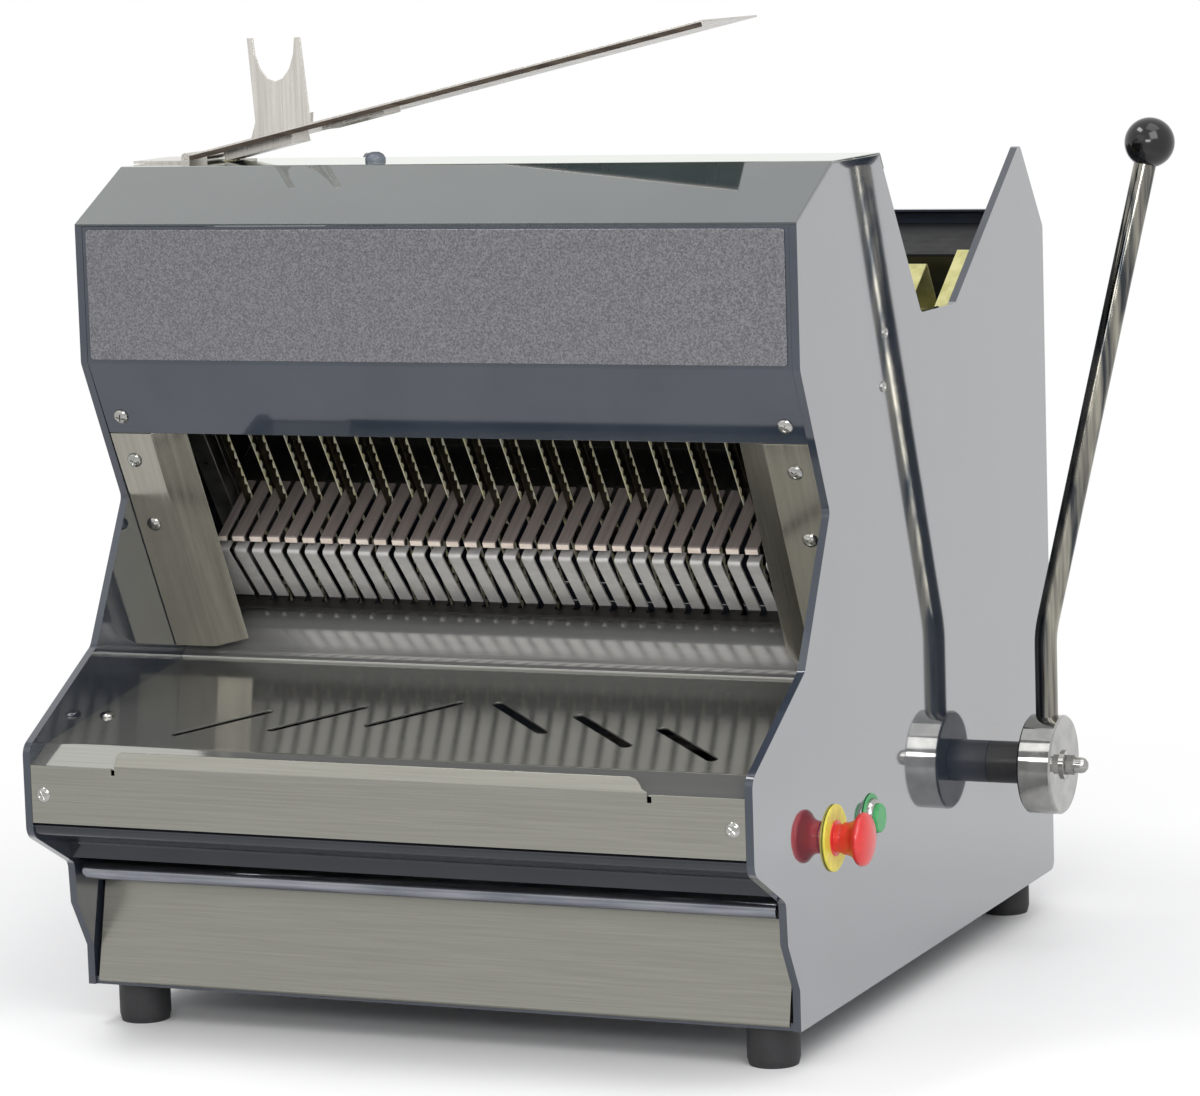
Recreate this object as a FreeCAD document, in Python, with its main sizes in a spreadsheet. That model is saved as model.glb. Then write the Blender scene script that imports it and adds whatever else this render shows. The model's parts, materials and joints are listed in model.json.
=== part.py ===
"""Frame bread slicer: a sloping feed floor, two reciprocating blade frames and a swing lever.

Frame: X to the right, Y to the back, Z up, millimetres, standing on Z = 0.
The lever stands out on the right, so the machine's mid-plane lies at X = mid_x and the
whole part is centred on X = 0. Lengths that belong to the machine are given from its
mid-plane, and `mid_x` is added when a piece is placed.
"""
import FreeCAD, Part
import math
import os
import Sketcher

SIZES = {
    # casing
    "machine_width": 590.0,
    "machine_depth": 690.0,
    "panel_thickness": 6.0,
    "sheet_thickness": 2.0,
    "cover_flange": 14.0,
    "panel_bottom_height": 32.0,
    "nose_low_height": 165.0,
    "nose_high_height": 233.0,
    "drawer_setback": 60.0,
    "drawer_recess_height": 133.0,
    "knee_height": 101.0,
    "base_setback": 84.0,
    "base_front_height": 63.0,
    "scoop_setback": 110.0,
    "scoop_height": 293.0,
    "chin_setback": 170.0,
    "chin_height": 402.0,
    "fascia_setback": 116.0,
    "fascia_low_height": 512.0,
    "fascia_high_height": 617.0,
    "top_setback": 193.0,
    "top_height": 656.0,
    "notch_height": 530.0,
    "notch_front": 37.0,
    "notch_rear": 118.0,
    "peak_back": 287.0,
    "rear_shoulder_height": 574.0,
    "nose_round": 12.0,
    "corner_round": 8.0,
    "lip_drop": 57.0,
    "lip_setback": 29.0,
    "fascia_plate_margin": 2.0,
    "fascia_plate_thickness": 1.0,
    "rear_cover_height": 589.0,
    "rear_cover_inset": 1.0,
    "rear_flange": 12.0,
    "deck_front": 200.0,
    "deck_front_height": 562.0,
    "deck_rear_height": 577.0,
    "louvre_length": 300.0,
    "louvre_width": 5.0,
    "louvre_pitch": 16.0,
    "louvre_count": 6.0,
    "louvre_height": 180.0,
    # base and feet
    "foot_radius": 20.0,
    "foot_top_radius": 18.5,
    "foot_side": 33.0,
    "foot_front_inset": 113.0,
    "foot_rear_inset": 33.0,
    "base_lift": 4.0,
    "foot_recess_radius": 9.0,
    "foot_recess_depth": 12.0,
    "bolt_radius": 4.0,
    "bolt_head_radius": 6.5,
    "bolt_head_height": 5.0,
    "nut_height": 6.5,
    "nut_radius": 7.5,
    # feed line
    "tilt_angle": 34.5,
    "cut_back": -74.0,
    "cut_height": 394.0,
    "floor_front": 52.0,
    "floor_rear": 290.0,
    "floor_flange": 65.0,
    "floor_half_width": 256.0,
    "floor_notch_half": 242.0,
    "floor_notch_back": 40.0,
    "blade_pitch": 15.5,
    "slot_count": 31.0,
    "slot_width": 4.5,
    "slot_back": 34.0,
    "crossbar_size": 20.0,
    "front_crossbar_back": 18.0,
    "rear_crossbar_drop": 45.0,
    "side_strip_width": 12.0,
    "side_strip_start": 100.0,
    "side_strip_end": 306.0,
    "side_strip_leg": 18.0,
    # outlet comb, catch sheet and tray
    "comb_front": -115.0,
    "comb_top": 353.0,
    "comb_face": 60.0,
    "comb_face_angle": 45.0,
    "comb_fold": 11.0,
    "comb_foot_back": 11.3,
    "comb_foot_drop": 6.5,
    "comb_slot_overrun": 3.5,
    "comb_half_width": 286.0,
    "tray_face_inset": 1.5,
    "tray_face_low": 175.0,
    "tray_face_high": 219.0,
    "tray_bevel": 27.0,
    "tray_bevel_high": 232.0,
    "tray_slope_angle": 8.0,
    "tray_rear": -98.0,
    "catch_round": 20.0,
    "catch_run": 20.0,
    "catch_lean": 4.0,
    "lip_half_width": 214.0,
    "lip_height": 10.0,
    "left_slot_across": -172.0,
    "left_slot_back": -255.0,
    "left_slot_length": 85.0,
    "left_slot_width": 6.0,
    "left_slot_angle": 52.0,
    "left_slot_step_across": 71.5,
    "left_slot_step_back": 20.0,
    "right_slot_across": 58.0,
    "right_slot_back": -214.0,
    "right_slot_length": 98.0,
    "right_slot_width": 9.0,
    "right_slot_angle": -44.0,
    "right_slot_step_across": 76.0,
    "right_slot_step_back": -21.5,
    "rail_front": -342.0,
    "rail_high": 172.0,
    "rail_back": -290.0,
    "rail_low": 152.0,
    "rail_drop": 14.0,
    # bread guards beside the outlet
    "guard_bend_half": 253.0,
    "guard_mouth_half": 229.0,
    "guard_web_depth": 12.5,
    "guard_length": 203.0,
    "hood_screw_up": 15.5,
    "guard_screw_high": 25.0,
    "guard_screw_low": 85.0,
    "strip_width": 26.0,
    "strip_thickness": 3.0,
    "strip_up": 30.0,
    "strip_down": 110.0,
    "strip_gap": 0.3,
    # drawer
    "drawer_face_low": 34.0,
    "drawer_face_bend": 66.0,
    "drawer_scoop_height": 99.0,
    "drawer_face_top": 119.0,
    "drawer_scoop_depth": 18.0,
    "drawer_gap": 3.0,
    "drawer_pull_height": 13.0,
    "drawer_pull_reach": 22.0,
    "drawer_pull_round": 6.0,
    "drawer_box_depth": 255.0,
    "drawer_box_height": 70.0,
    "drawer_wall": 1.5,
    "runner_width": 30.0,
    "runner_height": 2.0,
    "runner_side": 208.0,
    "drawer_half_width": 248.0,
    "slide_gap": 0.3,
    # blade frames and blades
    "window_half_width": 246.0,
    "upright_width": 16.0,
    "window_top": 196.0,
    "window_bottom": 178.0,
    "bar_height": 22.0,
    "bar_depth": 12.0,
    "frame_gap": 2.0,
    "blade_thickness": 0.6,
    "blade_edge_inset": 0.6,
    "blade_root": 9.0,
    "blade_slot_clearance": 0.2,
    "stroke_half": 12.0,
    "guide_height": 40.0,
    "guide_centre": 130.0,
    "guide_cheek": 10.0,
    "guide_wrap": 9.0,
    # drive
    "conrod_length": 115.0,
    "conrod_thickness": 10.0,
    "conrod_a_side": 215.0,
    "conrod_b_side": 185.0,
    "bigend_wall": 9.0,
    "eccentric_radius": 24.0,
    "eccentric_clearance": 1.0,
    "drive_shaft_radius": 10.0,
    "fit_clearance": 0.04,
    "bearing_size": 56.0,
    "bearing_thickness": 14.0,
    "pulley_side": 253.0,
    "pulley_width": 16.0,
    "pulley_flange": 3.0,
    "driven_radius": 65.0,
    "motor_pulley_radius": 32.0,
    "groove_depth": 8.0,
    "groove_gap": 0.4,
    "belt_width": 9.0,
    "belt_thickness": 6.0,
    "motor_inset": 77.0,
    "motor_height": 109.0,
    "motor_radius": 58.0,
    "motor_length": 170.0,
    "motor_gap": 20.0,
    "motor_shaft_radius": 9.0,
    "motor_seat_width": 90.0,
    # lever
    "hub_back": 186.0,
    "hub_height": 152.0,
    "lever_shaft_radius": 10.0,
    "boss_radius": 17.0,
    "boss_length": 33.0,
    "boss_gap": 0.3,
    "disc_radius": 40.0,
    "disc_length": 28.0,
    "disc_chamfer": 1.5,
    "shaft_seat": 10.0,
    "lever_radius": 9.0,
    "lever_low": 107.0,
    "lever_high": 400.0,
    "lever_bend_round": 90.0,
    "lever_lean": 13.6,
    "lever_turn": 35.5,
    "lever_seat": 20.0,
    "knob_radius": 20.0,
    "knob_seat": 14.0,
    "washer_radius": 12.0,
    "washer_thickness": 2.0,
    "stud_radius": 4.0,
    "hex_radius": 8.0,
    "hex_height": 7.0,
    "cap_radius": 6.5,
    "cap_height": 11.0,
    "arm_side": 270.0,
    "arm_thickness": 8.0,
    "arm_width": 36.0,
    "arm_reach": 440.0,
    "fork_slot_start": 346.0,
    "fork_play": 4.5,
    "fork_offset": 3.1,
    "bush_flange_radius": 20.0,
    "bush_flange": 4.0,
    # pusher
    "pusher_back": 60.0,
    "pusher_thickness": 3.0,
    "pusher_height": 95.0,
    "pusher_lift": 1.0,
    "ear_side": 258.0,
    "ear_thickness": 4.0,
    "ear_half_length": 20.0,
    "ear_drop": 14.0,
    "ear_height": 60.0,
    "pin_radius": 5.0,
    "pin_height": 12.0,
    "pin_end": 277.0,
    "shoe_width": 8.0,
    "shoe_height": 9.0,
    # controls
    "control_height": 161.0,
    "estop_back": -184.0,
    "start_back": -104.0,
    "control_hole_radius": 11.0,
    "estop_plate_radius": 25.0,
    "estop_plate_thickness": 1.5,
    "estop_collar_radius": 14.5,
    "estop_collar_length": 9.0,
    "estop_stem_radius": 8.0,
    "estop_travel": 4.0,
    "estop_cap_radius": 20.0,
    "estop_cap_length": 15.0,
    "estop_cap_round": 7.0,
    "start_plate_radius": 18.5,
    "start_plate_thickness": 1.0,
    "start_bezel_radius": 14.5,
    "start_bezel_length": 5.0,
    "start_button_radius": 11.0,
    "start_button_length": 4.0,
    "start_travel": 3.0,
    "plunger_radius": 5.0,
    "control_gap": 0.3,
    "contact_size": 30.0,
    "contact_depth": 38.0,
    # bagging plate
    "hinge_side": -259.0,
    "hinge_rise": 4.5,
    "hinge_radius": 1.8,
    "plate_angle": 12.5,
    "plate_length": 449.0,
    "plate_front": -113.0,
    "plate_depth": 116.0,
    "plate_thickness": 1.5,
    "plate_flange": 3.5,
    "knuckle_outer": 3.5,
    "knuckle_length": 30.0,
    "tab_reach": 46.0,
    "tab_width": 60.0,
    "tab_thickness": 2.0,
    "leaf_width": 16.0,
    "fork_start": 65.0,
    "fork_foot_width": 48.0,
    "fork_left": 57.8,
    "fork_width": 46.0,
    "fork_prong": 5.0,
    "fork_height": 92.0,
    "fork_crotch": 34.0,
    "fork_foot": 34.0,
    "fork_foot_lean": 7.0,
    "fork_foot_depth": 5.0,
    "fork_back": 1.0,
    "stay_start": 111.0,
    "stay_length": 55.0,
    "stay_width": 30.0,
    "stay_height": 5.0,
    "stay_back": 23.0,
    "bracket_start": 22.0,
    "bracket_length": 62.0,
    "bracket_low": 9.2,
    "bracket_high": 9.0,
    "stop_across": -100.0,
    "stop_back": -100.0,
    "stop_radius": 8.0,
    "stop_height": 7.0,
    # fasteners
    "screw_head_radius": 6.0,
    "screw_head_height": 3.4,
    "screw_shank_radius": 2.5,
    "screw_shank_length": 5.0,
    "small_screw_radius": 4.0,
    "side_screw_inset": 15.0,
    "tray_screw_inset": 10.0,
    "tray_screw_back": -250.0,
    "side_screw_back": -48.0,
    "side_screw_height": 522.0,
    "side_screw_step_back": -6.5,
    "side_screw_step_height": -40.0,
    "gland_back_height": 80.0,
    "gland_side": 200.0,
    "gland_radius": 11.0,
    "gland_length": 7.0,
}

AXIS_X = FreeCAD.Vector(1, 0, 0)
AXIS_Y = FreeCAD.Vector(0, 1, 0)
AXIS_Z = FreeCAD.Vector(0, 0, 1)
ALONG_Z = (AXIS_X, 0.0)
ALONG_RIGHT = (AXIS_Y, 90.0)
ALONG_LEFT = (AXIS_Y, -90.0)
ALONG_FRONT = (AXIS_X, 90.0)
ALONG_BACK = (AXIS_X, -90.0)


class Size:
    """A length or an angle: its number, and the expression that keeps it bound."""

    def __init__(self, number, text):
        self.number = float(number)
        self.text = text

    def __add__(self, other):
        other = as_size(other)
        return Size(self.number + other.number, f"({self.text} + {other.text})")

    def __sub__(self, other):
        other = as_size(other)
        return Size(self.number - other.number, f"({self.text} - {other.text})")

    def __mul__(self, other):
        other = as_size(other)
        return Size(self.number * other.number, f"({self.text} * {other.text})")

    def __truediv__(self, other):
        other = as_size(other)
        return Size(self.number / other.number, f"({self.text} / {other.text})")

    def __neg__(self):
        return Size(-self.number, f"(0 - {self.text})")

    __radd__ = __add__
    __rmul__ = __mul__

    def __rsub__(self, other):
        return as_size(other) - self


def as_size(value):
    return value if isinstance(value, Size) else Size(value, repr(float(value)))


def sine(angle):
    angle = as_size(angle)
    return Size(math.sin(math.radians(angle.number)), f"sin({angle.text})")


def cosine(angle):
    angle = as_size(angle)
    return Size(math.cos(math.radians(angle.number)), f"cos({angle.text})")


def tangent(angle):
    return sine(angle) / cosine(angle)


def arctangent(rise, run):
    number = math.degrees(math.atan2(rise.number, run.number))
    return Size(number, f"(atan2({rise.text}; {run.text}) / 1 deg)")


def length_of(first, second):
    return Size(math.hypot(first.number, second.number), f"hypot({first.text}; {second.text})")


def root(value):
    return Size(math.sqrt(value.number), f"sqrt({value.text})")


def larger(first, second):
    return Size(max(first.number, second.number), f"max({first.text}; {second.text})")


document = FreeCAD.newDocument("BreadSlicer")
sheet = document.addObject("Spreadsheet::Sheet", "Sizes")
for row, (alias, value) in enumerate(SIZES.items(), 1):
    sheet.set(f"A{row}", alias)
    sheet.set(f"B{row}", str(value))
    sheet.setAlias(f"B{row}", alias)
layout = document.addObject("App::VarSet", "Layout")
document.recompute()


class Sheet:
    """Reads the driving sizes as Size values."""

    def __getattr__(self, alias):
        return Size(SIZES[alias], f"Sizes.{alias}")


size = Sheet()


def derived(name, value):
    """Keeps a worked-out size in the document, so that others can be bound to it."""
    layout.addProperty("App::PropertyFloat", name, "Layout", "")
    layout.setExpression(name, value.text)
    return Size(value.number, f"Layout.{name}")


def bind(thing, prop, value):
    thing.setExpression(prop, as_size(value).text)


# ---------------------------------------------------------------- building blocks

parts = {}


def register(thing, label):
    thing.Label = label
    parts[label] = thing
    return thing


def origin_feature(body, role):
    return next(item for item in body.Origin.OriginFeatures if item.Role == role)


def place(thing, x, y, z, turn=ALONG_Z):
    """Puts a piece at a point, turned about one axis by a bound angle."""
    axis, angle = turn
    thing.Placement = FreeCAD.Placement(
        FreeCAD.Vector(as_size(x).number, as_size(y).number, as_size(z).number),
        FreeCAD.Rotation(axis, as_size(angle).number),
    )
    bind(thing, "Placement.Base.x", x)
    bind(thing, "Placement.Base.y", y)
    bind(thing, "Placement.Base.z", z)
    if isinstance(angle, Size):
        bind(thing, "Placement.Rotation.Angle", angle)
    return thing


def new_body(name):
    body = document.addObject("PartDesign::Body", name)
    body.AllowCompound = True
    return body


def new_sketch(body, plane, name, lift=None):
    sketch = body.newObject("Sketcher::SketchObject", name)
    sketch.AttachmentSupport = [(origin_feature(body, plane), "")]
    sketch.MapMode = "FlatFace"
    if lift is not None:
        sketch.AttachmentOffset = FreeCAD.Placement(
            FreeCAD.Vector(0, 0, as_size(lift).number), FreeCAD.Rotation()
        )
        bind(sketch, "AttachmentOffset.Base.z", lift)
    return sketch


def pin_point(sketch, edge, vertex, across, up):
    """Holds one sketch point at bound distances from the sketch's origin."""
    for kind, value in (("DistanceX", across), ("DistanceY", up)):
        value = as_size(value)
        number = sketch.addConstraint(
            Sketcher.Constraint(kind, -1, 1, edge, vertex, value.number)
        )
        bind(sketch, f"Constraints[{number}]", value)


def draw_polygon(sketch, points):
    first = sketch.GeometryCount
    count = len(points)
    corners = [FreeCAD.Vector(as_size(u).number, as_size(v).number, 0) for u, v in points]
    for index in range(count):
        line = Part.LineSegment(corners[index], corners[(index + 1) % count])
        sketch.addGeometry(line, False)
    for index in range(count):
        after = first + (index + 1) % count
        sketch.addConstraint(Sketcher.Constraint("Coincident", first + index, 2, after, 1))
    for index, (across, up) in enumerate(points):
        pin_point(sketch, first + index, 1, across, up)


def draw_circle(sketch, across, up, radius):
    centre = FreeCAD.Vector(as_size(across).number, as_size(up).number, 0)
    circle = Part.Circle(centre, AXIS_Z, as_size(radius).number)
    edge = sketch.addGeometry(circle, False)
    pin_point(sketch, edge, 3, across, up)
    number = sketch.addConstraint(
        Sketcher.Constraint("Radius", edge, as_size(radius).number)
    )
    bind(sketch, f"Constraints[{number}]", radius)


def pad(body, sketch, length, symmetric=False, reverse=False):
    feature = body.newObject("PartDesign::Pad", f"{sketch.Name}Pad")
    feature.Profile = sketch
    bind(feature, "Length", length)
    if symmetric:
        feature.SideType = "Symmetric"
    feature.Reversed = reverse
    return feature


def cut_through(body, sketch, length):
    """Pockets a sketch to both sides of its plane."""
    feature = body.newObject("PartDesign::Pocket", f"{sketch.Name}Pocket")
    feature.Profile = sketch
    feature.SideType = "Symmetric"
    bind(feature, "Length", length)
    return feature


def repeat(body, feature, role, count, pitch):
    """Repeats a feature along one of the body's own axes."""
    pattern = body.newObject("PartDesign::LinearPattern", f"{feature.Name}Pattern")
    pattern.Originals = [feature]
    pattern.Direction = (origin_feature(body, role), [""])
    pattern.Mode = "Spacing"
    bind(pattern, "Offset", pitch)
    bind(pattern, "Occurrences", count)
    body.Tip = pattern
    return pattern


def edges_through(shape, points):
    """Names the edges along X that pass through the given places in Y and Z."""
    names = []
    for number, edge in enumerate(shape.Edges, 1):
        ends = [vertex.Point for vertex in edge.Vertexes]
        for across, up in points:
            target = (as_size(across).number, as_size(up).number)
            if len(ends) == 2 and all(math.dist((end.y, end.z), target) < 0.01 for end in ends):
                names.append(f"Edge{number}")
    return names


def rounded(body, feature, points, radius):
    """Rounds the edges of a prism at the given outline corners."""
    document.recompute()
    fillet = body.newObject("PartDesign::Fillet", f"{feature.Name}Round")
    fillet.Base = (feature, edges_through(feature.Shape, points))
    bind(fillet, "Radius", radius)
    body.Tip = fillet
    return fillet


def prism(label, outline, low, high, holes=(), rounds=(), node=True):
    """A plate or profile drawn in Y and Z and padded along X, from low to high."""
    body = new_body(f"{label}_body")
    sketch = new_sketch(body, "YZ_Plane", f"{label}_outline")
    draw_polygon(sketch, outline)
    for across, up, radius in holes:
        draw_circle(sketch, across, up, radius)
    feature = pad(body, sketch, high - low)
    for points, radius in rounds:
        feature = rounded(body, feature, points, radius)
    place(body, mid_x + low, 0, 0)
    return register(body, label) if node else body


def tilted(body, x=0.0):
    """Places a body in the feed line's own frame: Y up the floor, Z along the blades."""
    return place(body, mid_x + x, size.cut_back, size.cut_height, (AXIS_X, size.tilt_angle))


def feed_point(along, above):
    """Machine Y and Z of a point given along and above the feed floor."""
    across = size.cut_back + along * cosine(size.tilt_angle) - above * sine(size.tilt_angle)
    up = size.cut_height + along * sine(size.tilt_angle) + above * cosine(size.tilt_angle)
    return across, up


def sheet_outline(name, points, thickness):
    """Outline of a bent sheet: a line of points, and the same line set over to its left."""
    steps = []
    for (y1, z1), (y2, z2) in zip(points, points[1:]):
        run, rise = as_size(y2) - y1, as_size(z2) - z1
        steps.append((run / length_of(run, rise), rise / length_of(run, rise)))
    outer = []
    for index, (across, up) in enumerate(points):
        before = steps[max(index - 1, 0)]
        after = steps[min(index, len(steps) - 1)]
        share = thickness / (1 + before[0] * after[0] + before[1] * after[1])
        set_over_y = derived(f"{name}_y{index}", across - share * (before[1] + after[1]))
        set_over_z = derived(f"{name}_z{index}", up + share * (before[0] + after[0]))
        outer.append((set_over_y, set_over_z))
    return list(points) + outer[::-1]


def turned(label, outline, where, turn, node=True):
    """A turned piece: an outline of radius and height, turned about its own Z axis."""
    body = new_body(f"{label}_body")
    sketch = new_sketch(body, "XZ_Plane", f"{label}_outline")
    draw_polygon(sketch, outline)
    feature = body.newObject("PartDesign::Revolution", f"{label}_turning")
    feature.Profile = sketch
    feature.ReferenceAxis = (origin_feature(body, "Z_Axis"), [""])
    feature.Angle = 360.0
    place(body, *where, turn)
    return register(body, label) if node else body


def ring_outline(inner, outer, low, high):
    return [(inner, low), (outer, low), (outer, high), (inner, high)]


def cylinder(name, radius, height, where, turn):
    solid = document.addObject("Part::Cylinder", name)
    bind(solid, "Radius", radius)
    bind(solid, "Height", height)
    return place(solid, *where, turn)


def box(name, length, width, height, where, turn=ALONG_Z):
    solid = document.addObject("Part::Box", name)
    bind(solid, "Length", length)
    bind(solid, "Width", width)
    bind(solid, "Height", height)
    return place(solid, *where, turn)


def hexagon(name, radius, height, where, turn):
    solid = document.addObject("Part::Prism", name)
    solid.Polygon = 6
    bind(solid, "Circumradius", radius)
    bind(solid, "Height", height)
    return place(solid, *where, turn)


def fused(name, solids):
    joined = document.addObject("Part::MultiFuse", name)
    joined.Shapes = solids
    return joined


def cut_away(name, base, tool):
    cut = document.addObject("Part::Cut", name)
    cut.Base = base
    cut.Tool = tool
    return cut


def compound(name, solids):
    joined = document.addObject("Part::Compound", name)
    joined.Links = solids
    return joined


def group(label, solids):
    """Several separate solids that share one node."""
    return register(compound(f"{label}_group", solids), label)


def links(name, template, places):
    """Links to one piece, each at its own place."""
    made = []
    for index, (where, turn) in enumerate(places):
        link = document.addObject("App::Link", f"{name}_{index}")
        link.LinkedObject = template
        link.LinkTransform = False
        made.append(place(link, *where, turn))
    return made


def drilled(label, base, places, template):
    """Drills a piece at each screw place and takes over its name."""
    base.Label = f"{label}_blank"
    tool = fused(f"{label}_drills", links(f"{label}_drill", template, places))
    return register(cut_away(f"{label}_drilled", base, tool), label)


# ---------------------------------------------------------------- main places

half_width = derived("half_width", size.machine_width / 2)
inner = derived("inner", half_width - size.panel_thickness)
front = derived("front", -size.machine_depth / 2)
rear = derived("rear", size.machine_depth / 2)
disc_start = derived("disc_start", half_width + size.boss_length + size.boss_gap)
lever_across = derived("lever_across", disc_start + size.disc_length / 2)
lever_slant = derived("lever_slant", size.lever_high * sine(size.lever_lean))
knob_across = derived("knob_across", lever_across + lever_slant * cosine(size.lever_turn))
tab_end = derived("tab_end", size.hinge_side - size.tab_reach)
left_reach = derived("left_reach", larger(half_width, -tab_end))
right_reach = derived("right_reach", knob_across + size.knob_radius)
mid_x = derived("mid_x", (left_reach - right_reach) / 2)

fascia = derived("fascia", front + size.fascia_setback)
lip_back = derived("lip_back", fascia + size.lip_setback)
lip_height = derived("lip_low", size.fascia_low_height - size.lip_drop)
lip_angle = derived("lip_angle", arctangent(size.lip_setback, size.lip_drop))
top_front = derived("top_front", front + size.top_setback)
top_rear = derived(
    "top_rear",
    size.notch_front - (size.top_height - size.notch_height) * tangent(size.tilt_angle),
)
peak_height = derived(
    "peak_height",
    size.notch_height + (size.peak_back - size.notch_rear) * tangent(size.tilt_angle),
)
base_top = derived("base_top", size.panel_bottom_height + size.base_lift + size.sheet_thickness)
tray_face = derived("tray_face", front + size.tray_face_inset)
bevel_back = derived("bevel_back", front + size.tray_bevel)
tray_rise = derived("tray_rise", tangent(size.tray_slope_angle))


def tray_height(back):
    """Height of the tray's upper face at a distance to the back."""
    return size.tray_bevel_high + (back - bevel_back) * tray_rise


def lip_point(along, behind):
    """Machine Y and Z of a point along the hood's lower lip (down) and behind it."""
    across = lip_back + along * sine(lip_angle) + behind * cosine(lip_angle)
    up = lip_height - along * cosine(lip_angle) + behind * sine(lip_angle)
    return across, up


lip_turn = (AXIS_X, derived("lip_face_turn", 90 + lip_angle))
window_low = derived("window_low", -size.window_bottom - size.bar_height)
shaft_along_z = derived("shaft_along_z", window_low + size.bar_height / 2 - size.conrod_length)
shaft_back, shaft_height = feed_point(as_size(0), shaft_along_z)
shaft_back = derived("shaft_back", shaft_back)
shaft_height = derived("shaft_height", shaft_height)
hub_along = derived(
    "hub_along",
    (size.hub_back - size.cut_back) * cosine(size.tilt_angle)
    + (size.hub_height - size.cut_height) * sine(size.tilt_angle),
)
hub_below = derived(
    "hub_below",
    (size.hub_back - size.cut_back) * sine(size.tilt_angle)
    - (size.hub_height - size.cut_height) * cosine(size.tilt_angle),
)

# ---------------------------------------------------------------- fastener templates

screw_template = turned(
    "dome_screw",
    [
        (0, -size.screw_shank_length),
        (size.screw_shank_radius, -size.screw_shank_length),
        (size.screw_shank_radius, 0),
        (size.screw_head_radius, 0),
        (size.screw_head_radius * 0.8, size.screw_head_height * 0.7),
        (size.screw_head_radius * 0.4, size.screw_head_height),
        (0, size.screw_head_height),
    ],
    (0, 0, 0),
    ALONG_Z,
    node=False,
)
drill_template = turned(
    "screw_drill",
    [
        (0, -size.screw_shank_length - 1),
        (size.screw_shank_radius + size.fit_clearance, -size.screw_shank_length - 1),
        (size.screw_shank_radius + size.fit_clearance, 1),
        (0, 1),
    ],
    (0, 0, 0),
    ALONG_Z,
    node=False,
)

# ---------------------------------------------------------------- casing


def panel_outline():
    """Side panel seen from the right, from the front foot corner and round by the top."""
    return [
        (front + size.base_setback, size.panel_bottom_height),
        (front + size.base_setback, size.base_front_height),
        (front + size.drawer_setback + 2, size.knee_height),
        (front + size.drawer_setback, size.drawer_recess_height),
        (front, size.nose_low_height),
        (front, size.nose_high_height),
        (front + size.scoop_setback, size.scoop_height),
        (front + size.chin_setback, size.chin_height),
        (fascia, size.fascia_low_height),
        (fascia, size.fascia_high_height),
        (top_front, size.top_height),
        (top_rear, size.top_height),
        (size.notch_front, size.notch_height),
        (size.notch_rear, size.notch_height),
        (size.peak_back, peak_height),
        (rear, size.rear_shoulder_height),
        (rear, size.panel_bottom_height),
    ]


def side_panel(label, low, holes):
    outline = panel_outline()
    rounds = [
        ([outline[4], outline[5]], size.nose_round),
        ([outline[index] for index in (3, 6, 7, 8, 12, 13, 14, 15, 16)], size.corner_round),
    ]
    return prism(label, outline, low, low + size.panel_thickness, holes, rounds)


bush_bore = derived("bush_bore", size.boss_radius - size.bush_flange)
lever_hole = (size.hub_back, size.hub_height, bush_bore)
control_holes = [
    (size.estop_back, size.control_height, size.control_hole_radius),
    (size.start_back, size.control_height, size.control_hole_radius),
]
side_panel("side_panel_left", -half_width, [lever_hole])
right_panel = side_panel("side_panel_right", inner, [lever_hole] + control_holes)

cover_line = [
    (fascia, size.fascia_high_height),
    (top_front, size.top_height),
    (top_rear, size.top_height),
    (
        top_rear + size.cover_flange * sine(size.tilt_angle),
        size.top_height - size.cover_flange * cosine(size.tilt_angle),
    ),
]
prism(
    "top_cover",
    sheet_outline("cover_sheet", cover_line, size.sheet_thickness),
    -half_width,
    half_width,
)

fascia_line = [
    (fascia, size.fascia_high_height),
    (fascia, size.fascia_low_height),
    (lip_back, lip_height),
]
fascia_sheet = prism(
    "front_fascia", sheet_outline("fascia_sheet", fascia_line, size.sheet_thickness), -inner, inner
)
hood_screw_x = derived("hood_screw_x", inner - size.side_screw_inset)


def lip_places(along):
    """A screw place on each side, on the plane of the hood's lower lip."""
    back, up = lip_point(along, as_size(0))
    return [((mid_x + side * hood_screw_x, back, up), lip_turn) for side in (-1, 1)]


hood_screws = lip_places(-size.hood_screw_up)
guard_screws = lip_places(size.guard_screw_high) + lip_places(size.guard_screw_low)
drilled("front_fascia", fascia_sheet, hood_screws, drill_template)

prism(
    "fascia_plate",
    [
        (fascia - size.fascia_plate_thickness, size.fascia_low_height + size.fascia_plate_margin),
        (fascia, size.fascia_low_height + size.fascia_plate_margin),
        (fascia, size.fascia_high_height - size.fascia_plate_margin),
        (fascia - size.fascia_plate_thickness, size.fascia_high_height - size.fascia_plate_margin),
    ],
    -inner + size.fascia_plate_margin,
    inner - size.fascia_plate_margin,
)

rear_line_y = derived("rear_line_y", rear - size.rear_cover_inset)
rear_cover = prism(
    "rear_cover",
    sheet_outline(
        "rear_sheet",
        [
            (rear_line_y, size.panel_bottom_height),
            (rear_line_y, size.rear_cover_height),
            (rear_line_y - size.rear_flange, size.rear_cover_height),
        ],
        size.sheet_thickness,
    ),
    -inner,
    inner,
)


def cut_louvres(body):
    """Vent slots in the rear cover, one above the other."""
    sketch = new_sketch(body, "XZ_Plane", "rear_louvres", lift=-rear)
    low = size.louvre_height
    middle = inner
    draw_polygon(
        sketch,
        [
            (middle - size.louvre_length / 2, low),
            (middle + size.louvre_length / 2, low),
            (middle + size.louvre_length / 2, low + size.louvre_width),
            (middle - size.louvre_length / 2, low + size.louvre_width),
        ],
    )
    feature = cut_through(body, sketch, size.sheet_thickness * 4)
    repeat(body, feature, "Z_Axis", size.louvre_count, size.louvre_pitch)


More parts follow.
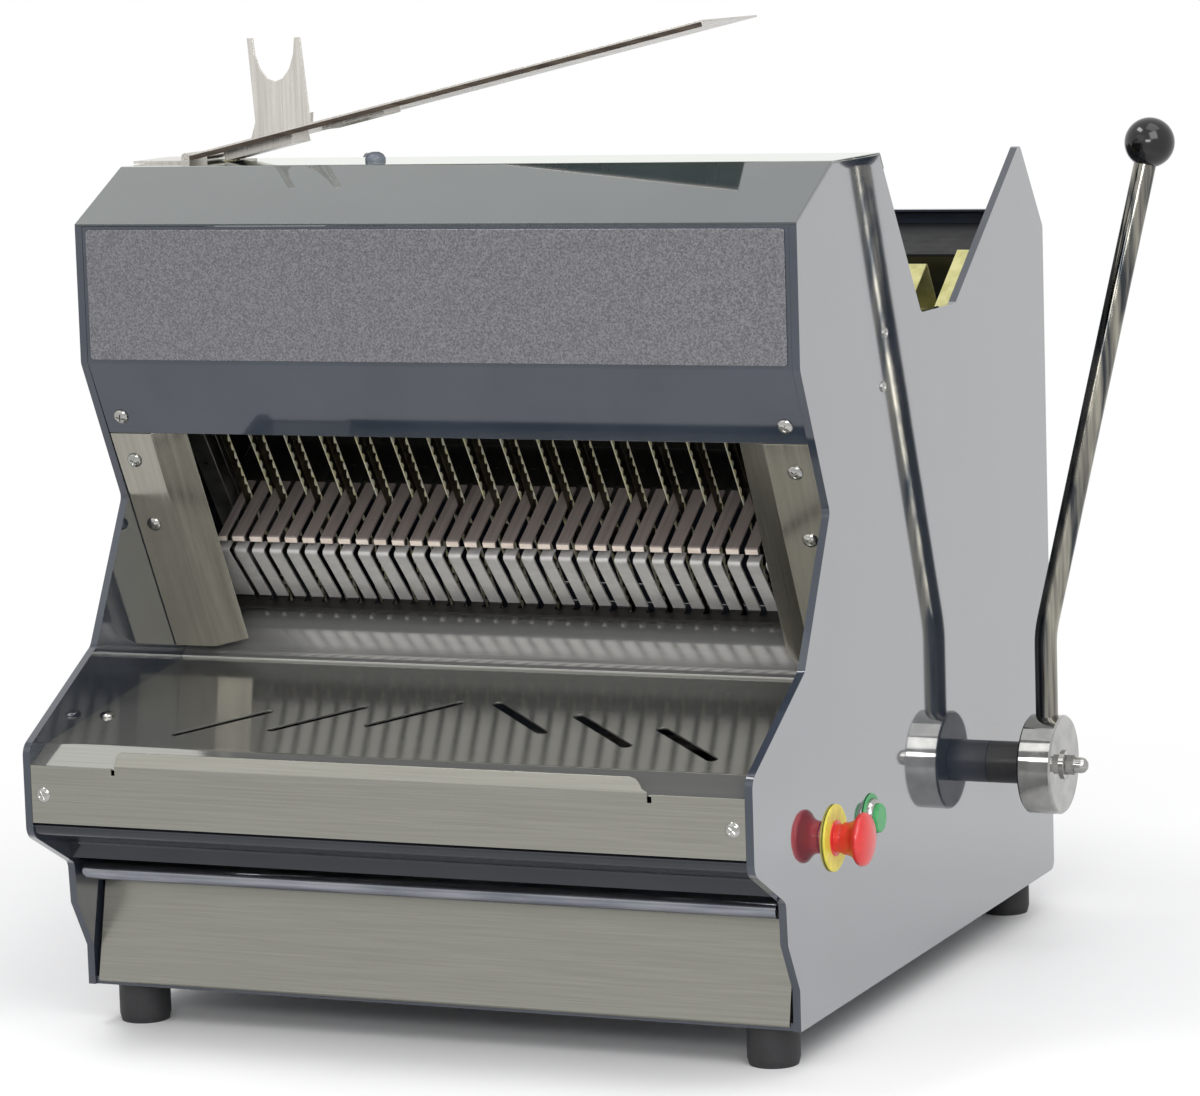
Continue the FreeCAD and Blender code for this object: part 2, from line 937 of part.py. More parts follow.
cut_louvres(rear_cover)
gland_hole = cylinder(
    "gland_hole",
    size.gland_radius - 3,
    size.sheet_thickness * 3,
    (mid_x - size.gland_side, rear + size.sheet_thickness, size.gland_back_height),
    ALONG_FRONT,
)
rear_cover.Label = "rear_cover_blank"
register(cut_away("rear_cover_cut", rear_cover, gland_hole), "rear_cover")

deck_end = derived("deck_end", rear_line_y - size.sheet_thickness - size.slide_gap)
prism(
    "rear_deck",
    sheet_outline(
        "deck_sheet",
        [
            (deck_end, size.deck_rear_height),
            (size.deck_front, size.deck_front_height),
        ],
        size.sheet_thickness,
    ),
    -inner,
    inner,
)

base_front = derived("base_front", front + size.base_setback + size.sheet_thickness)
base_plate = prism(
    "base_plate",
    sheet_outline(
        "base_sheet",
        [
            (base_front, size.panel_bottom_height),
            (base_front, base_top),
            (rear_line_y - size.sheet_thickness, base_top),
        ],
        -size.sheet_thickness,
    ),
    -inner,
    inner,
)

foot_x = derived("foot_x", half_width - size.foot_side)
foot_places = [
    ((mid_x + side * foot_x, back, 0), ALONG_Z)
    for side in (-1, 1)
    for back in (front + size.foot_front_inset, rear - size.foot_rear_inset)
]
foot_top = derived("foot_top", base_top - size.sheet_thickness)
bolt_bore = derived("bolt_bore", size.bolt_radius + size.fit_clearance)
foot_template = turned(
    "foot",
    [
        (size.foot_recess_radius, 0),
        (size.foot_top_radius, 0),
        (size.foot_radius, size.foot_recess_depth / 2),
        (size.foot_radius, foot_top),
        (bolt_bore, foot_top),
        (bolt_bore, size.foot_recess_depth),
        (size.foot_recess_radius, size.foot_recess_depth),
    ],
    (0, 0, 0),
    ALONG_Z,
    node=False,
)
group("rubber_feet", links("rubber_foot", foot_template, foot_places))
bolt_template = turned(
    "foot_bolt",
    [
        (0, size.foot_recess_depth - size.bolt_head_height),
        (size.bolt_head_radius, size.foot_recess_depth - size.bolt_head_height),
        (size.bolt_head_radius, size.foot_recess_depth),
        (size.bolt_radius, size.foot_recess_depth),
        (size.bolt_radius, base_top + size.nut_height + 2),
        (0, base_top + size.nut_height + 2),
    ],
    (0, 0, 0),
    ALONG_Z,
    node=False,
)
bolt_drill = turned(
    "bolt_drill",
    [(0, 0), (bolt_bore, 0), (bolt_bore, base_top + 1), (0, base_top + 1)],
    (0, 0, 0),
    ALONG_Z,
    node=False,
)
drilled("base_plate", base_plate, foot_places, bolt_drill)
nut_blank = hexagon("foot_nut_blank", size.nut_radius, size.nut_height, (0, 0, base_top), ALONG_Z)
nut_bore = cylinder("foot_nut_bore", bolt_bore, size.nut_height, (0, 0, base_top), ALONG_Z)
nut_template = cut_away("foot_nut", nut_blank, nut_bore)
fastener_template = compound("foot_fastener", [bolt_template, nut_template])
group("foot_fasteners", links("foot_fastener", fastener_template, foot_places))

# ---------------------------------------------------------------- outlet tray and front rail

tray_rear_height = derived("tray_rear_height", tray_height(size.tray_rear))
tray_line = [
    (tray_face, size.tray_face_low),
    (tray_face, size.tray_face_high),
    (bevel_back, size.tray_bevel_high),
    (size.tray_rear, tray_rear_height),
]
tray = prism(
    "outlet_tray",
    sheet_outline("tray_sheet", tray_line, -size.sheet_thickness),
    -inner,
    inner,
)


def slanted_slot(sketch, across, back, length, width, angle):
    """A straight slot in the tray, its centre, its length and its direction from X."""
    half_x, half_y = length / 2 * cosine(angle), length / 2 * sine(angle)
    side_x, side_y = width / 2 * sine(angle), width / 2 * cosine(angle)
    draw_polygon(
        sketch,
        [
            (inner + across - half_x + side_x, back - half_y - side_y),
            (inner + across + half_x + side_x, back + half_y - side_y),
            (inner + across + half_x - side_x, back + half_y + side_y),
            (inner + across - half_x - side_x, back - half_y + side_y),
        ],
    )


def cut_tray_slots(body):
    sketch = new_sketch(body, "XY_Plane", "tray_slots", lift=size.tray_bevel_high)
    for index in range(3):
        slanted_slot(
            sketch,
            size.left_slot_across + index * size.left_slot_step_across,
            size.left_slot_back + index * size.left_slot_step_back,
            size.left_slot_length,
            size.left_slot_width,
            size.left_slot_angle,
        )
        slanted_slot(
            sketch,
            size.right_slot_across + index * size.right_slot_step_across,
            size.right_slot_back + index * size.right_slot_step_back,
            size.right_slot_length,
            size.right_slot_width,
            size.right_slot_angle,
        )
    cut_through(body, sketch, size.scoop_height)


cut_tray_slots(tray)
tray_screw_z = derived("tray_screw_z", (size.tray_face_low + size.tray_face_high) / 2)
tray_screw_turn = (AXIS_X, size.tray_slope_angle)
tray_screws = []
for side in (-1, 1):
    face_x = mid_x + side * (inner - size.tray_screw_inset)
    top_x = mid_x + side * (inner - size.side_screw_inset)
    tray_screws.append(((face_x, tray_face, tray_screw_z), ALONG_FRONT))
    top_z = tray_height(size.tray_screw_back)
    tray_screws.append(((top_x, size.tray_screw_back, top_z), tray_screw_turn))
drilled("outlet_tray", tray, tray_screws, drill_template)

lip_top = derived("lip_top", size.tray_face_high + size.lip_height + 2)
prism(
    "tray_lip",
    [
        (front, size.tray_face_high - size.lip_height / 2),
        (tray_face, size.tray_face_high - size.lip_height / 2),
        (tray_face, size.tray_face_high),
        (bevel_back, size.tray_bevel_high),
        (bevel_back, size.tray_bevel_high + size.tray_face_inset),
        (front, lip_top),
    ],
    -size.lip_half_width,
    size.lip_half_width,
)

prism(
    "front_rail",
    sheet_outline(
        "rail_sheet",
        [
            (size.rail_front, size.rail_high),
            (size.rail_back, size.rail_low),
            (size.rail_back, size.rail_low - size.rail_drop),
        ],
        size.sheet_thickness,
    ),
    -inner,
    inner,
)

comb_low_y = derived("comb_low_y", size.comb_front + size.comb_face * sine(size.comb_face_angle))
comb_low_z = derived("comb_low_z", size.comb_top - size.comb_face * cosine(size.comb_face_angle))
comb_foot_z = derived("comb_foot_z", comb_low_z - size.comb_foot_drop)
catch_corner = (size.tray_rear + size.catch_run, tray_height(size.tray_rear + size.catch_run))
catch_end = (catch_corner[0] - size.catch_lean, comb_foot_z - size.sheet_thickness)
catch_line = [(size.tray_rear + size.slide_gap, tray_rear_height), catch_corner, catch_end]
catch_outline = sheet_outline("catch", catch_line, -size.sheet_thickness)
prism(
    "catch_sheet",
    catch_outline,
    -inner,
    inner,
    rounds=[
        ([catch_outline[1]], size.catch_round * 0.9),
        ([catch_outline[4]], size.catch_round * 0.9 + size.sheet_thickness),
    ],
)

# ---------------------------------------------------------------- outlet comb

comb_line = [
    (
        size.comb_front + size.comb_fold * cosine(size.tilt_angle),
        size.comb_top + size.comb_fold * sine(size.tilt_angle),
    ),
    (size.comb_front, size.comb_top),
    (comb_low_y, comb_low_z),
    (comb_low_y - size.comb_foot_back, comb_foot_z),
]
comb = prism(
    "outlet_comb",
    sheet_outline("comb_sheet", comb_line, size.sheet_thickness),
    -size.comb_half_width,
    size.comb_half_width,
)
slot_span = derived("slot_span", (size.slot_count - 1) * size.blade_pitch)


def cut_comb_slots(body):
    """Slots between the comb's fingers, open at the top."""
    sketch = new_sketch(body, "XZ_Plane", "comb_slots", lift=-size.comb_front)
    left = size.comb_half_width - slot_span / 2 - size.slot_width / 2
    low = comb_low_z - size.comb_slot_overrun
    high = size.comb_top + size.comb_fold
    corners = [(left, low), (left + size.slot_width, low)]
    corners += [(left + size.slot_width, high), (left, high)]
    draw_polygon(sketch, corners)
    feature = cut_through(body, sketch, size.comb_face * 4)
    repeat(body, feature, "X_Axis", size.slot_count, size.blade_pitch)


cut_comb_slots(comb)

# ---------------------------------------------------------------- feed floor and its bars


def tilted_prism(label, outline, low, high, node=True):
    """A profile drawn along and above the feed floor and padded along X."""
    body = new_body(f"{label}_body")
    sketch = new_sketch(body, "YZ_Plane", f"{label}_outline")
    draw_polygon(sketch, outline)
    pad(body, sketch, high - low)
    tilted(body, low)
    return register(body, label) if node else body


floor = tilted_prism(
    "feed_floor",
    sheet_outline(
        "floor_sheet",
        [
            (-size.floor_front, as_size(0)),
            (size.floor_rear, as_size(0)),
            (size.floor_rear, -size.floor_flange),
        ],
        -size.sheet_thickness,
    ),
    -size.floor_half_width,
    size.floor_half_width,
)


def cut_floor_slots(body):
    """Slots that let the blades through, open at the floor's front edge."""
    sketch = new_sketch(body, "XY_Plane", "floor_slots")
    left = size.floor_half_width - slot_span / 2 - size.slot_width / 2
    right = left + size.slot_width
    near, far = -size.floor_front - 1, size.slot_back
    draw_polygon(sketch, [(left, near), (right, near), (right, far), (left, far)])
    feature = cut_through(body, sketch, size.sheet_thickness * 4)
    repeat(body, feature, "X_Axis", size.slot_count, size.blade_pitch)
    notches = new_sketch(body, "XY_Plane", "floor_notches")
    far = size.floor_notch_back
    for side in (-1, 1):
        edge = size.floor_half_width + side * size.floor_notch_half
        out = size.floor_half_width + side * (size.floor_half_width + 1)
        draw_polygon(notches, [(edge, near), (out, near), (out, far), (edge, far)])
    cut_through(body, notches, size.sheet_thickness * 4)


cut_floor_slots(floor)


def bar_outline(back, above):
    return [
        (back, above),
        (back + size.crossbar_size, above),
        (back + size.crossbar_size, above + size.crossbar_size),
        (back, above + size.crossbar_size),
    ]


front_bar = tilted_prism(
    "floor_bar_front",
    bar_outline(size.front_crossbar_back, -size.sheet_thickness - size.crossbar_size),
    -inner,
    inner,
    node=False,
)
rear_bar_back = derived(
    "rear_bar_back", size.floor_rear - size.sheet_thickness - size.crossbar_size
)
rear_bar = tilted_prism(
    "floor_bar_rear",
    bar_outline(rear_bar_back, -size.rear_crossbar_drop - size.crossbar_size),
    -inner,
    inner,
    node=False,
)

side_strip = sheet_outline(
    "side_strip_sheet",
    [
        (size.side_strip_start, as_size(0)),
        (size.side_strip_end, as_size(0)),
    ],
    -size.sheet_thickness,
)
side_strips = []
for side, label in ((-1, "floor_strip_left"), (1, "floor_strip_right")):
    start = side * inner if side < 0 else inner - size.side_strip_width
    flat = tilted_prism(f"{label}_flat", side_strip, start, start + size.side_strip_width, False)
    leg_start = start if side < 0 else inner - size.sheet_thickness
    leg = tilted_prism(
        f"{label}_leg",
        [
            (size.side_strip_start, -size.side_strip_leg),
            (size.side_strip_end, -size.side_strip_leg),
            (size.side_strip_end, as_size(0)),
            (size.side_strip_start, as_size(0)),
        ],
        leg_start,
        leg_start + size.sheet_thickness,
        False,
    )
    side_strips.append(fused(f"{label}_angle", [flat, leg]))
group("floor_supports", [front_bar, rear_bar] + side_strips)

# ---------------------------------------------------------------- bread guards


def guard(label, side):
    """A bent upright beside the outlet: a screwed flange and a slanting web."""
    body = new_body(f"{label}_body")
    sketch = new_sketch(body, "XY_Plane", f"{label}_outline")
    flange = side * (inner - size.strip_gap)
    bend = side * size.guard_bend_half
    mouth = side * size.guard_mouth_half
    line = [(flange, as_size(0)), (bend, as_size(0)), (mouth, size.guard_web_depth)]
    draw_polygon(sketch, sheet_outline(f"{label}_sheet", line, -side * size.sheet_thickness))
    pad(body, sketch, size.guard_length, reverse=True)
    place(body, mid_x, lip_back, lip_height, (AXIS_X, lip_angle))
    return body


guards = [guard("guard_left", -1), guard("guard_right", 1)]
drilled("bread_guards", compound("guard_pair", guards), guard_screws, drill_template)

strip_pieces = []
strip_back, strip_low = lip_point(size.strip_down, size.sheet_thickness)
for side, label in ((-1, "screw_strip_left"), (1, "screw_strip_right")):
    low_x = side * (inner - size.strip_width / 2) - size.strip_width / 2
    strip_pieces.append(
        box(
            label,
            size.strip_width,
            size.strip_thickness,
            size.strip_down + size.strip_up,
            (mid_x + low_x, strip_back, strip_low),
            (AXIS_X, lip_angle),
        )
    )
strip_pair = compound("strip_pair", strip_pieces)
drilled("screw_strips", strip_pair, hood_screws + guard_screws, drill_template)

# ---------------------------------------------------------------- drawer

drawer_face = derived("drawer_face", front + size.base_setback - 1)
scoop_back = derived("scoop_back", drawer_face + size.drawer_scoop_depth)
drawer_half = derived("drawer_half", inner - size.drawer_gap)
face = prism(
    "drawer_face",
    sheet_outline(
        "drawer_face_sheet",
        [
            (drawer_face, size.drawer_face_low),
            (drawer_face, size.drawer_face_bend),
            (scoop_back, size.drawer_scoop_height),
            (scoop_back, size.drawer_face_top),
        ],
        -size.sheet_thickness,
    ),
    -drawer_half,
    drawer_half,
    node=False,
)
pull_front = derived("pull_front", drawer_face - size.drawer_pull_reach + size.slide_gap)
pull_outline = sheet_outline(
    "drawer_pull_sheet",
    [
        (scoop_back + size.sheet_thickness, size.drawer_face_top),
        (pull_front, size.drawer_face_top),
        (pull_front, size.drawer_face_top + size.drawer_pull_height),
        (scoop_back + size.sheet_thickness, size.drawer_face_top + size.drawer_pull_height),
    ],
    -size.sheet_thickness,
)
pull = prism(
    "drawer_pull",
    pull_outline,
    -drawer_half,
    drawer_half,
    rounds=[(pull_outline[1:3], size.drawer_pull_round)],
    node=False,
)
register(fused("drawer_front_bend", [face, pull]), "drawer_front")

drawer_low = derived("drawer_low", base_top + size.runner_height + size.slide_gap)
drawer_outer = box(
    "drawer_outer",
    size.drawer_half_width * 2,
    size.drawer_box_depth,
    size.drawer_box_height,
    (mid_x - size.drawer_half_width, scoop_back + size.sheet_thickness, drawer_low),
)
drawer_inner = box(
    "drawer_inner",
    (size.drawer_half_width - size.drawer_wall) * 2,
    size.drawer_box_depth - size.drawer_wall * 2,
    size.drawer_box_height,
    (
        mid_x - size.drawer_half_width + size.drawer_wall,
        scoop_back + size.sheet_thickness + size.drawer_wall,
        drawer_low + size.drawer_wall,
    ),
)
register(cut_away("drawer_hollow", drawer_outer, drawer_inner), "drawer_box")

runners = []
for side, label in ((-1, "runner_left"), (1, "runner_right")):
    low_x = side * (size.runner_side + size.runner_width / 2) - size.runner_width / 2
    runners.append(
        box(
            label,
            size.runner_width,
            size.drawer_box_depth,
            size.runner_height,
            (mid_x + low_x, scoop_back + size.sheet_thickness, base_top),
        )
    )
group("drawer_runners", runners)

# ---------------------------------------------------------------- blade frames and blades

frame_middle = derived("frame_middle", (size.frame_gap + size.bar_depth) / 2)
window_high = size.window_top
window_base = -size.window_bottom


def blade_frame(label, side, first, count):
    """A rectangular frame with a saw slot for every blade in its two bars."""
    body = new_body(f"{label}_body")
    outer = size.window_half_width + size.upright_width
    high, low = window_high + size.bar_height, window_base - size.bar_height
    ring = new_sketch(body, "XZ_Plane", f"{label}_ring", lift=-side * frame_middle)
    draw_polygon(ring, [(-outer, low), (outer, low), (outer, high), (-outer, high)])
    width = size.window_half_width
    window = [(-width, window_base), (width, window_base)]
    window += [(width, window_high), (-width, window_high)]
    draw_polygon(ring, window)
    pad(body, ring, size.bar_depth, symmetric=True)
    slots = new_sketch(body, "XZ_Plane", f"{label}_slots", lift=-side * frame_middle)
    half = size.blade_thickness / 2 + size.blade_slot_clearance
    for near, far in (
        (window_high - 1, window_high + size.blade_root),
        (window_base - size.blade_root, window_base + 1),
    ):
        corners = [(first - half, near), (first + half, near)]
        draw_polygon(slots, corners + [(first + half, far), (first - half, far)])
    feature = cut_through(body, slots, size.bar_depth * 2)
    repeat(body, feature, "X_Axis", count, size.blade_pitch * 2)
    return register(tilted(body), label)


def blade_set(label, side, first, count):
    """Thin upright blades, two pitches apart, held at both ends."""
    body = new_body(f"{label}_body")
    sketch = new_sketch(body, "XZ_Plane", f"{label}_outline", lift=-side * frame_middle)
    half = size.blade_thickness / 2
    low, high = window_base - size.blade_root, window_high + size.blade_root
    corners = [(first - half, low), (first + half, low)]
    draw_polygon(sketch, corners + [(first + half, high), (first - half, high)])
    width = size.bar_depth - size.blade_edge_inset * 2
    feature = pad(body, sketch, width, symmetric=True)
    repeat(body, feature, "X_Axis", count, size.blade_pitch * 2)
    return register(tilted(body), label)


first_even = derived("first_even", -slot_span / 2)
first_odd = derived("first_odd", -slot_span / 2 + size.blade_pitch)
even_count = derived("even_count", (size.slot_count + 1) / 2)
odd_count = derived("odd_count", (size.slot_count - 1) / 2)
blade_frame("blade_frame_a", -1, first_even, even_count)
blade_frame("blade_frame_b", 1, first_odd, odd_count)
blade_set("blades_a", -1, first_even, even_count)
blade_set("blades_b", 1, first_odd, odd_count)

guide_inner = derived("guide_inner", size.frame_gap / 2 + size.bar_depth + size.slide_gap)
guide_outer = derived("guide_outer", guide_inner + size.guide_cheek)
guide_back = derived("guide_back", size.window_half_width + size.upright_width + size.slide_gap)
guide_mouth = derived("guide_mouth", guide_back - size.guide_wrap)
guides = []
for name, side, middle in (
    ("upper_left", -1, size.guide_centre),
    ("upper_right", 1, size.guide_centre),
    ("lower_left", -1, -size.guide_centre),
    ("lower_right", 1, -size.guide_centre),
):
    body = new_body(f"guide_{name}")
    sketch = new_sketch(body, "XY_Plane", f"guide_{name}_outline", lift=middle)
    draw_polygon(
        sketch,
        [
            (side * inner, -guide_outer),
            (side * inner, guide_outer),
            (side * guide_mouth, guide_outer),
            (side * guide_mouth, guide_inner),
            (side * guide_back, guide_inner),
            (side * guide_back, -guide_inner),
            (side * guide_mouth, -guide_inner),
            (side * guide_mouth, -guide_outer),
        ],
    )
    pad(body, sketch, size.guide_height, symmetric=True)
    guides.append(tilted(body))
group("guide_blocks", guides)

# ---------------------------------------------------------------- drive

ring_bore = derived(
    "ring_bore", size.eccentric_radius + size.stroke_half * 2 + size.eccentric_clearance
)
ring_radius = derived("ring_radius", ring_bore + size.bigend_wall)


def conrod(name, side, across):
    """A ring round the eccentric, and an arm up to the underside of one frame."""
    body = new_body(name)
    ring = new_sketch(body, "YZ_Plane", f"{name}_ring")
    draw_circle(ring, 0, shaft_along_z, ring_radius)
    draw_circle(ring, 0, shaft_along_z, ring_bore)
    pad(body, ring, size.conrod_thickness, symmetric=True)
    arm = new_sketch(body, "YZ_Plane", f"{name}_arm")
    near = side * size.frame_gap / 2
    far = near + side * size.bar_depth
    low = shaft_along_z + ring_bore + 1
    draw_polygon(arm, [(near, low), (far, low), (far, window_low), (near, window_low)])
    pad(body, arm, size.conrod_thickness, symmetric=True)
    return tilted(body, across)


conrod_sides = ((-1, "left"), (1, "right"))
for label, side, distance in (
    ("conrods_a", -1, size.conrod_a_side),
    ("conrods_b", 1, size.conrod_b_side),
):
    group(label, [conrod(f"{label}_{name}", side, hand * distance) for hand, name in conrod_sides])

shaft_bore = derived("shaft_bore", size.drive_shaft_radius + size.fit_clearance)
eccentrics = []
for label, side, distance in (
    ("a", -1, size.conrod_a_side),
    ("b", 1, size.conrod_b_side),
):
    back, up = feed_point(-side * size.stroke_half, shaft_along_z)
    for hand, name in conrod_sides:
        start = mid_x + hand * distance - size.conrod_thickness / 2
        disc = cylinder(
            f"eccentric_disc_{label}_{name}",
            size.eccentric_radius,
            size.conrod_thickness,
            (start, back, up),
            ALONG_RIGHT,
        )
        bore = cylinder(
            f"eccentric_bore_{label}_{name}",
            shaft_bore,
            size.conrod_thickness,
            (start, shaft_back, shaft_height),
            ALONG_RIGHT,
        )
        eccentrics.append(cut_away(f"eccentric_{label}_{name}", disc, bore))
group("eccentrics", eccentrics)

shaft_half = derived("shaft_half", inner - 1)
register(
    cylinder(
        "drive_shaft",
        size.drive_shaft_radius,
        shaft_half * 2,
        (mid_x - shaft_half, shaft_back, shaft_height),
        ALONG_RIGHT,
    ),
    "drive_shaft",
)

bearing_half = size.bearing_size / 2
bearing_outline = [
    (shaft_back - bearing_half, shaft_height - bearing_half),
    (shaft_back + bearing_half, shaft_height - bearing_half),
    (shaft_back + bearing_half, shaft_height + bearing_half),
    (shaft_back - bearing_half, shaft_height + bearing_half),
]
bearings = [
    prism(
        name,
        bearing_outline,
        low,
        low + size.bearing_thickness,
        holes=[(shaft_back, shaft_height, shaft_bore)],
        rounds=[(bearing_outline, size.corner_round)],
        node=False,
    )
    for name, low in (
        ("bearing_left", -inner),
        ("bearing_right", inner - size.bearing_thickness),
    )
]
group("bearing_housings", bearings)


def pulley(label, radius, bore, start, back, up, node=True):
    """A flanged pulley with a flat groove."""
    flange = size.pulley_flange
    wide = size.pulley_width
    return turned(
        label,
        [
            (bore, 0),
            (radius, 0),
            (radius, flange),
            (radius - size.groove_depth, flange),
            (radius - size.groove_depth, wide - flange),
            (radius, wide - flange),
            (radius, wide),
            (bore, wide),
        ],
        (start, back, up),
        ALONG_RIGHT,
        node,
    )


pulley_start = derived("pulley_start", mid_x - size.pulley_side - size.pulley_width / 2)
motor_bore = derived("motor_bore", size.motor_shaft_radius + size.fit_clearance)
pulley("driven_pulley", size.driven_radius, shaft_bore, pulley_start, shaft_back, shaft_height)
motor_back = derived("motor_back", rear - size.motor_inset)
motor_place = (motor_back, size.motor_height)
small_pulley = pulley(
    "small_pulley", size.motor_pulley_radius, motor_bore, pulley_start, *motor_place, node=False
)
motor_start = derived("motor_start", pulley_start + size.pulley_width + size.motor_gap)
motor_shaft = cylinder(
    "motor_shaft",
    size.motor_shaft_radius,
    size.pulley_width + size.motor_gap * 2 - size.slide_gap,
    (pulley_start, *motor_place),
    ALONG_RIGHT,
)
group("motor_rotor", [small_pulley, motor_shaft])
cap_step = size.motor_radius - size.corner_round
motor_end = size.motor_length
turned(
    "motor",
    [
        (0, size.motor_gap),
        (motor_bore, size.motor_gap),
        (motor_bore, 0),
        (cap_step, 0),
        (size.motor_radius, size.corner_round),
        (size.motor_radius, motor_end - size.corner_round),
        (cap_step, motor_end),
        (0, motor_end),
    ],
    (motor_start, *motor_place),
    ALONG_RIGHT,
)
seat_start = derived("seat_start", motor_start + size.corner_round * 2)
seat_length = derived("seat_length", size.motor_length - size.corner_round * 4)
seat_block = box(
    "motor_seat_block",
    seat_length,
    size.motor_seat_width,
    size.motor_height - base_top - size.corner_round,
    (seat_start, motor_back - size.motor_seat_width / 2, base_top),
)
seat_hollow = cylinder(
    "motor_seat_hollow",
    size.motor_radius + size.fit_clearance,
    seat_length,
    (seat_start, *motor_place),
    ALONG_RIGHT,
)
register(cut_away("motor_seat_cradle", seat_block, seat_hollow), "motor_seat")

# ---------------------------------------------------------------- drive belt

belt_inner_a = derived("belt_inner_a", size.driven_radius - size.groove_depth + size.groove_gap)
belt_inner_b = derived(
    "belt_inner_b", size.motor_pulley_radius - size.groove_depth + size.groove_gap
)
belt_run = derived("belt_run", motor_back - shaft_back)
belt_fall = derived("belt_fall", size.motor_height - shaft_height)
centre_line = derived("centre_line", length_of(belt_run, belt_fall))
centre_angle = derived("centre_angle", arctangent(belt_fall, belt_run))
radius_step = derived("radius_step", belt_inner_a - belt_inner_b)
tangent_run = derived("tangent_run", root(centre_line * centre_line - radius_step * radius_step))
wrap_angle = derived("wrap_angle", arctangent(tangent_run, radius_step))
belt_start = derived("belt_start", pulley_start + (size.pulley_width - size.belt_width) / 2)


def belt_loop(name, grow):
    """The solid inside a belt surface: two round ends and the run between them."""
    first, second = belt_inner_a + grow, belt_inner_b + grow
    corners = []
    for turn in (centre_angle + wrap_angle, centre_angle - wrap_angle):
        pair = [
            (shaft_back + first * cosine(turn), shaft_height + first * sine(turn)),
            (
                motor_back + second * cosine(turn),
                size.motor_height + second * sine(turn),
            ),
        ]
        corners.append(pair)
    outline = corners[0] + corners[1][::-1]
    low = belt_start - mid_x
    run = prism(f"{name}_run", outline, low, low + size.belt_width, node=False)
    ends = [
        cylinder(f"{name}_{end}", radius, size.belt_width, (belt_start, *centre), ALONG_RIGHT)
        for end, radius, centre in (
            ("large", first, (shaft_back, shaft_height)),
            ("small", second, motor_place),
        )
    ]
    return fused(name, [run] + ends)


belt_outside = belt_loop("belt_outside", size.belt_thickness)
register(cut_away("belt_band", belt_outside, belt_loop("belt_inside", as_size(0))), "drive_belt")

# ---------------------------------------------------------------- lever

lever_bore = derived("lever_bore", size.lever_shaft_radius + size.fit_clearance)
hub_place = (size.hub_back, size.hub_height)
bush_end = derived("bush_end", -half_width - size.bush_flange)
shaft_end = derived("shaft_end", disc_start + size.shaft_seat)
stud_bore = derived("stud_bore", size.stud_radius + size.fit_clearance)
nut_start = derived("nut_start", disc_start + size.disc_length)
hex_start = derived("hex_start", nut_start + size.washer_thickness)
cap_start = derived("cap_start", hex_start + size.hex_height)
turned(
    "lever_shaft",
    [
        (0, 0),
        (size.lever_shaft_radius, 0),
        (size.lever_shaft_radius, shaft_end - bush_end),
        (size.stud_radius, shaft_end - bush_end),
        (size.stud_radius, cap_start + size.cap_height / 2 - bush_end),
        (0, cap_start + size.cap_height / 2 - bush_end),
    ],
    (mid_x + bush_end, *hub_place),
    ALONG_RIGHT,
)
barrel = derived("bush_barrel", bush_bore - size.fit_clearance)
right_bush = turned(
    "lever_boss",
    [
        (lever_bore, -size.panel_thickness),
        (barrel, -size.panel_thickness),
        (barrel, 0),
        (size.boss_radius, 0),
        (size.boss_radius, size.boss_length),
        (lever_bore, size.boss_length),
    ],
    (mid_x + half_width, *hub_place),
    ALONG_RIGHT,
    node=False,
)
left_bush = turned(
    "left_bush",
    [
        (lever_bore, -size.panel_thickness),
        (barrel, -size.panel_thickness),
        (barrel, 0),
        (size.bush_flange_radius, 0),
        (size.bush_flange_radius, size.bush_flange),
        (lever_bore, size.bush_flange),
    ],
    (mid_x - half_width, *hub_place),
    ALONG_LEFT,
    node=False,
)
group("lever_bushes", [right_bush, left_bush])

disc_blank = turned(
    "crank_disc_blank",
    [
        (stud_bore, 0),
        (size.disc_radius - size.disc_chamfer, 0),
        (size.disc_radius, size.disc_chamfer),
        (size.disc_radius, size.disc_length - size.disc_chamfer),
        (size.disc_radius - size.disc_chamfer, size.disc_length),
        (stud_bore, size.disc_length),
    ],
    (mid_x + disc_start, *hub_place),
    ALONG_RIGHT,
    node=False,
)
disc_seat = cylinder(
    "crank_disc_seat",
    lever_bore,
    size.shaft_seat,
    (mid_x + disc_start, *hub_place),
    ALONG_RIGHT,
)
bar_start = derived("bar_start", size.disc_radius - size.lever_seat)
bar_bore = derived("bar_bore", size.lever_radius + size.fit_clearance)
disc_socket = cylinder(
    "crank_disc_socket",
    bar_bore,
    size.disc_radius,
    (mid_x + lever_across, size.hub_back, size.hub_height + bar_start),
    ALONG_Z,
)
disc_cuts = fused("crank_disc_cuts", [disc_seat, disc_socket])
register(cut_away("crank_disc_drilled", disc_blank, disc_cuts), "crank_disc")

bend_run = derived("bend_run", size.lever_bend_round * tangent(size.lever_lean / 2))
bend_start = derived("bend_start", size.lever_low - bend_run)
bar_high = derived(
    "bar_high", size.lever_high - bend_run - size.knob_radius + size.knob_seat
)
low_bar = cylinder(
    "bar_low", size.lever_radius, bend_start - bar_start, (0, 0, bar_start), ALONG_Z
)
bend = document.addObject("Part::Torus", "bar_bend")
bind(bend, "Radius1", size.lever_bend_round)
bind(bend, "Radius2", size.lever_radius)
bind(bend, "Angle3", size.lever_lean)
place(bend, size.lever_bend_round, 0, bend_start, (FreeCAD.Vector(0, 1, 1), 180.0))
high_bar = cylinder(
    "bar_high",
    size.lever_radius,
    bar_high,
    (
        size.lever_bend_round * (1 - cosine(size.lever_lean)),
        0,
        bend_start + size.lever_bend_round * sine(size.lever_lean),
    ),
    (AXIS_Y, size.lever_lean),
)
lever_turn = (AXIS_Z, size.lever_turn)
lever_foot = (mid_x + lever_across, *hub_place)
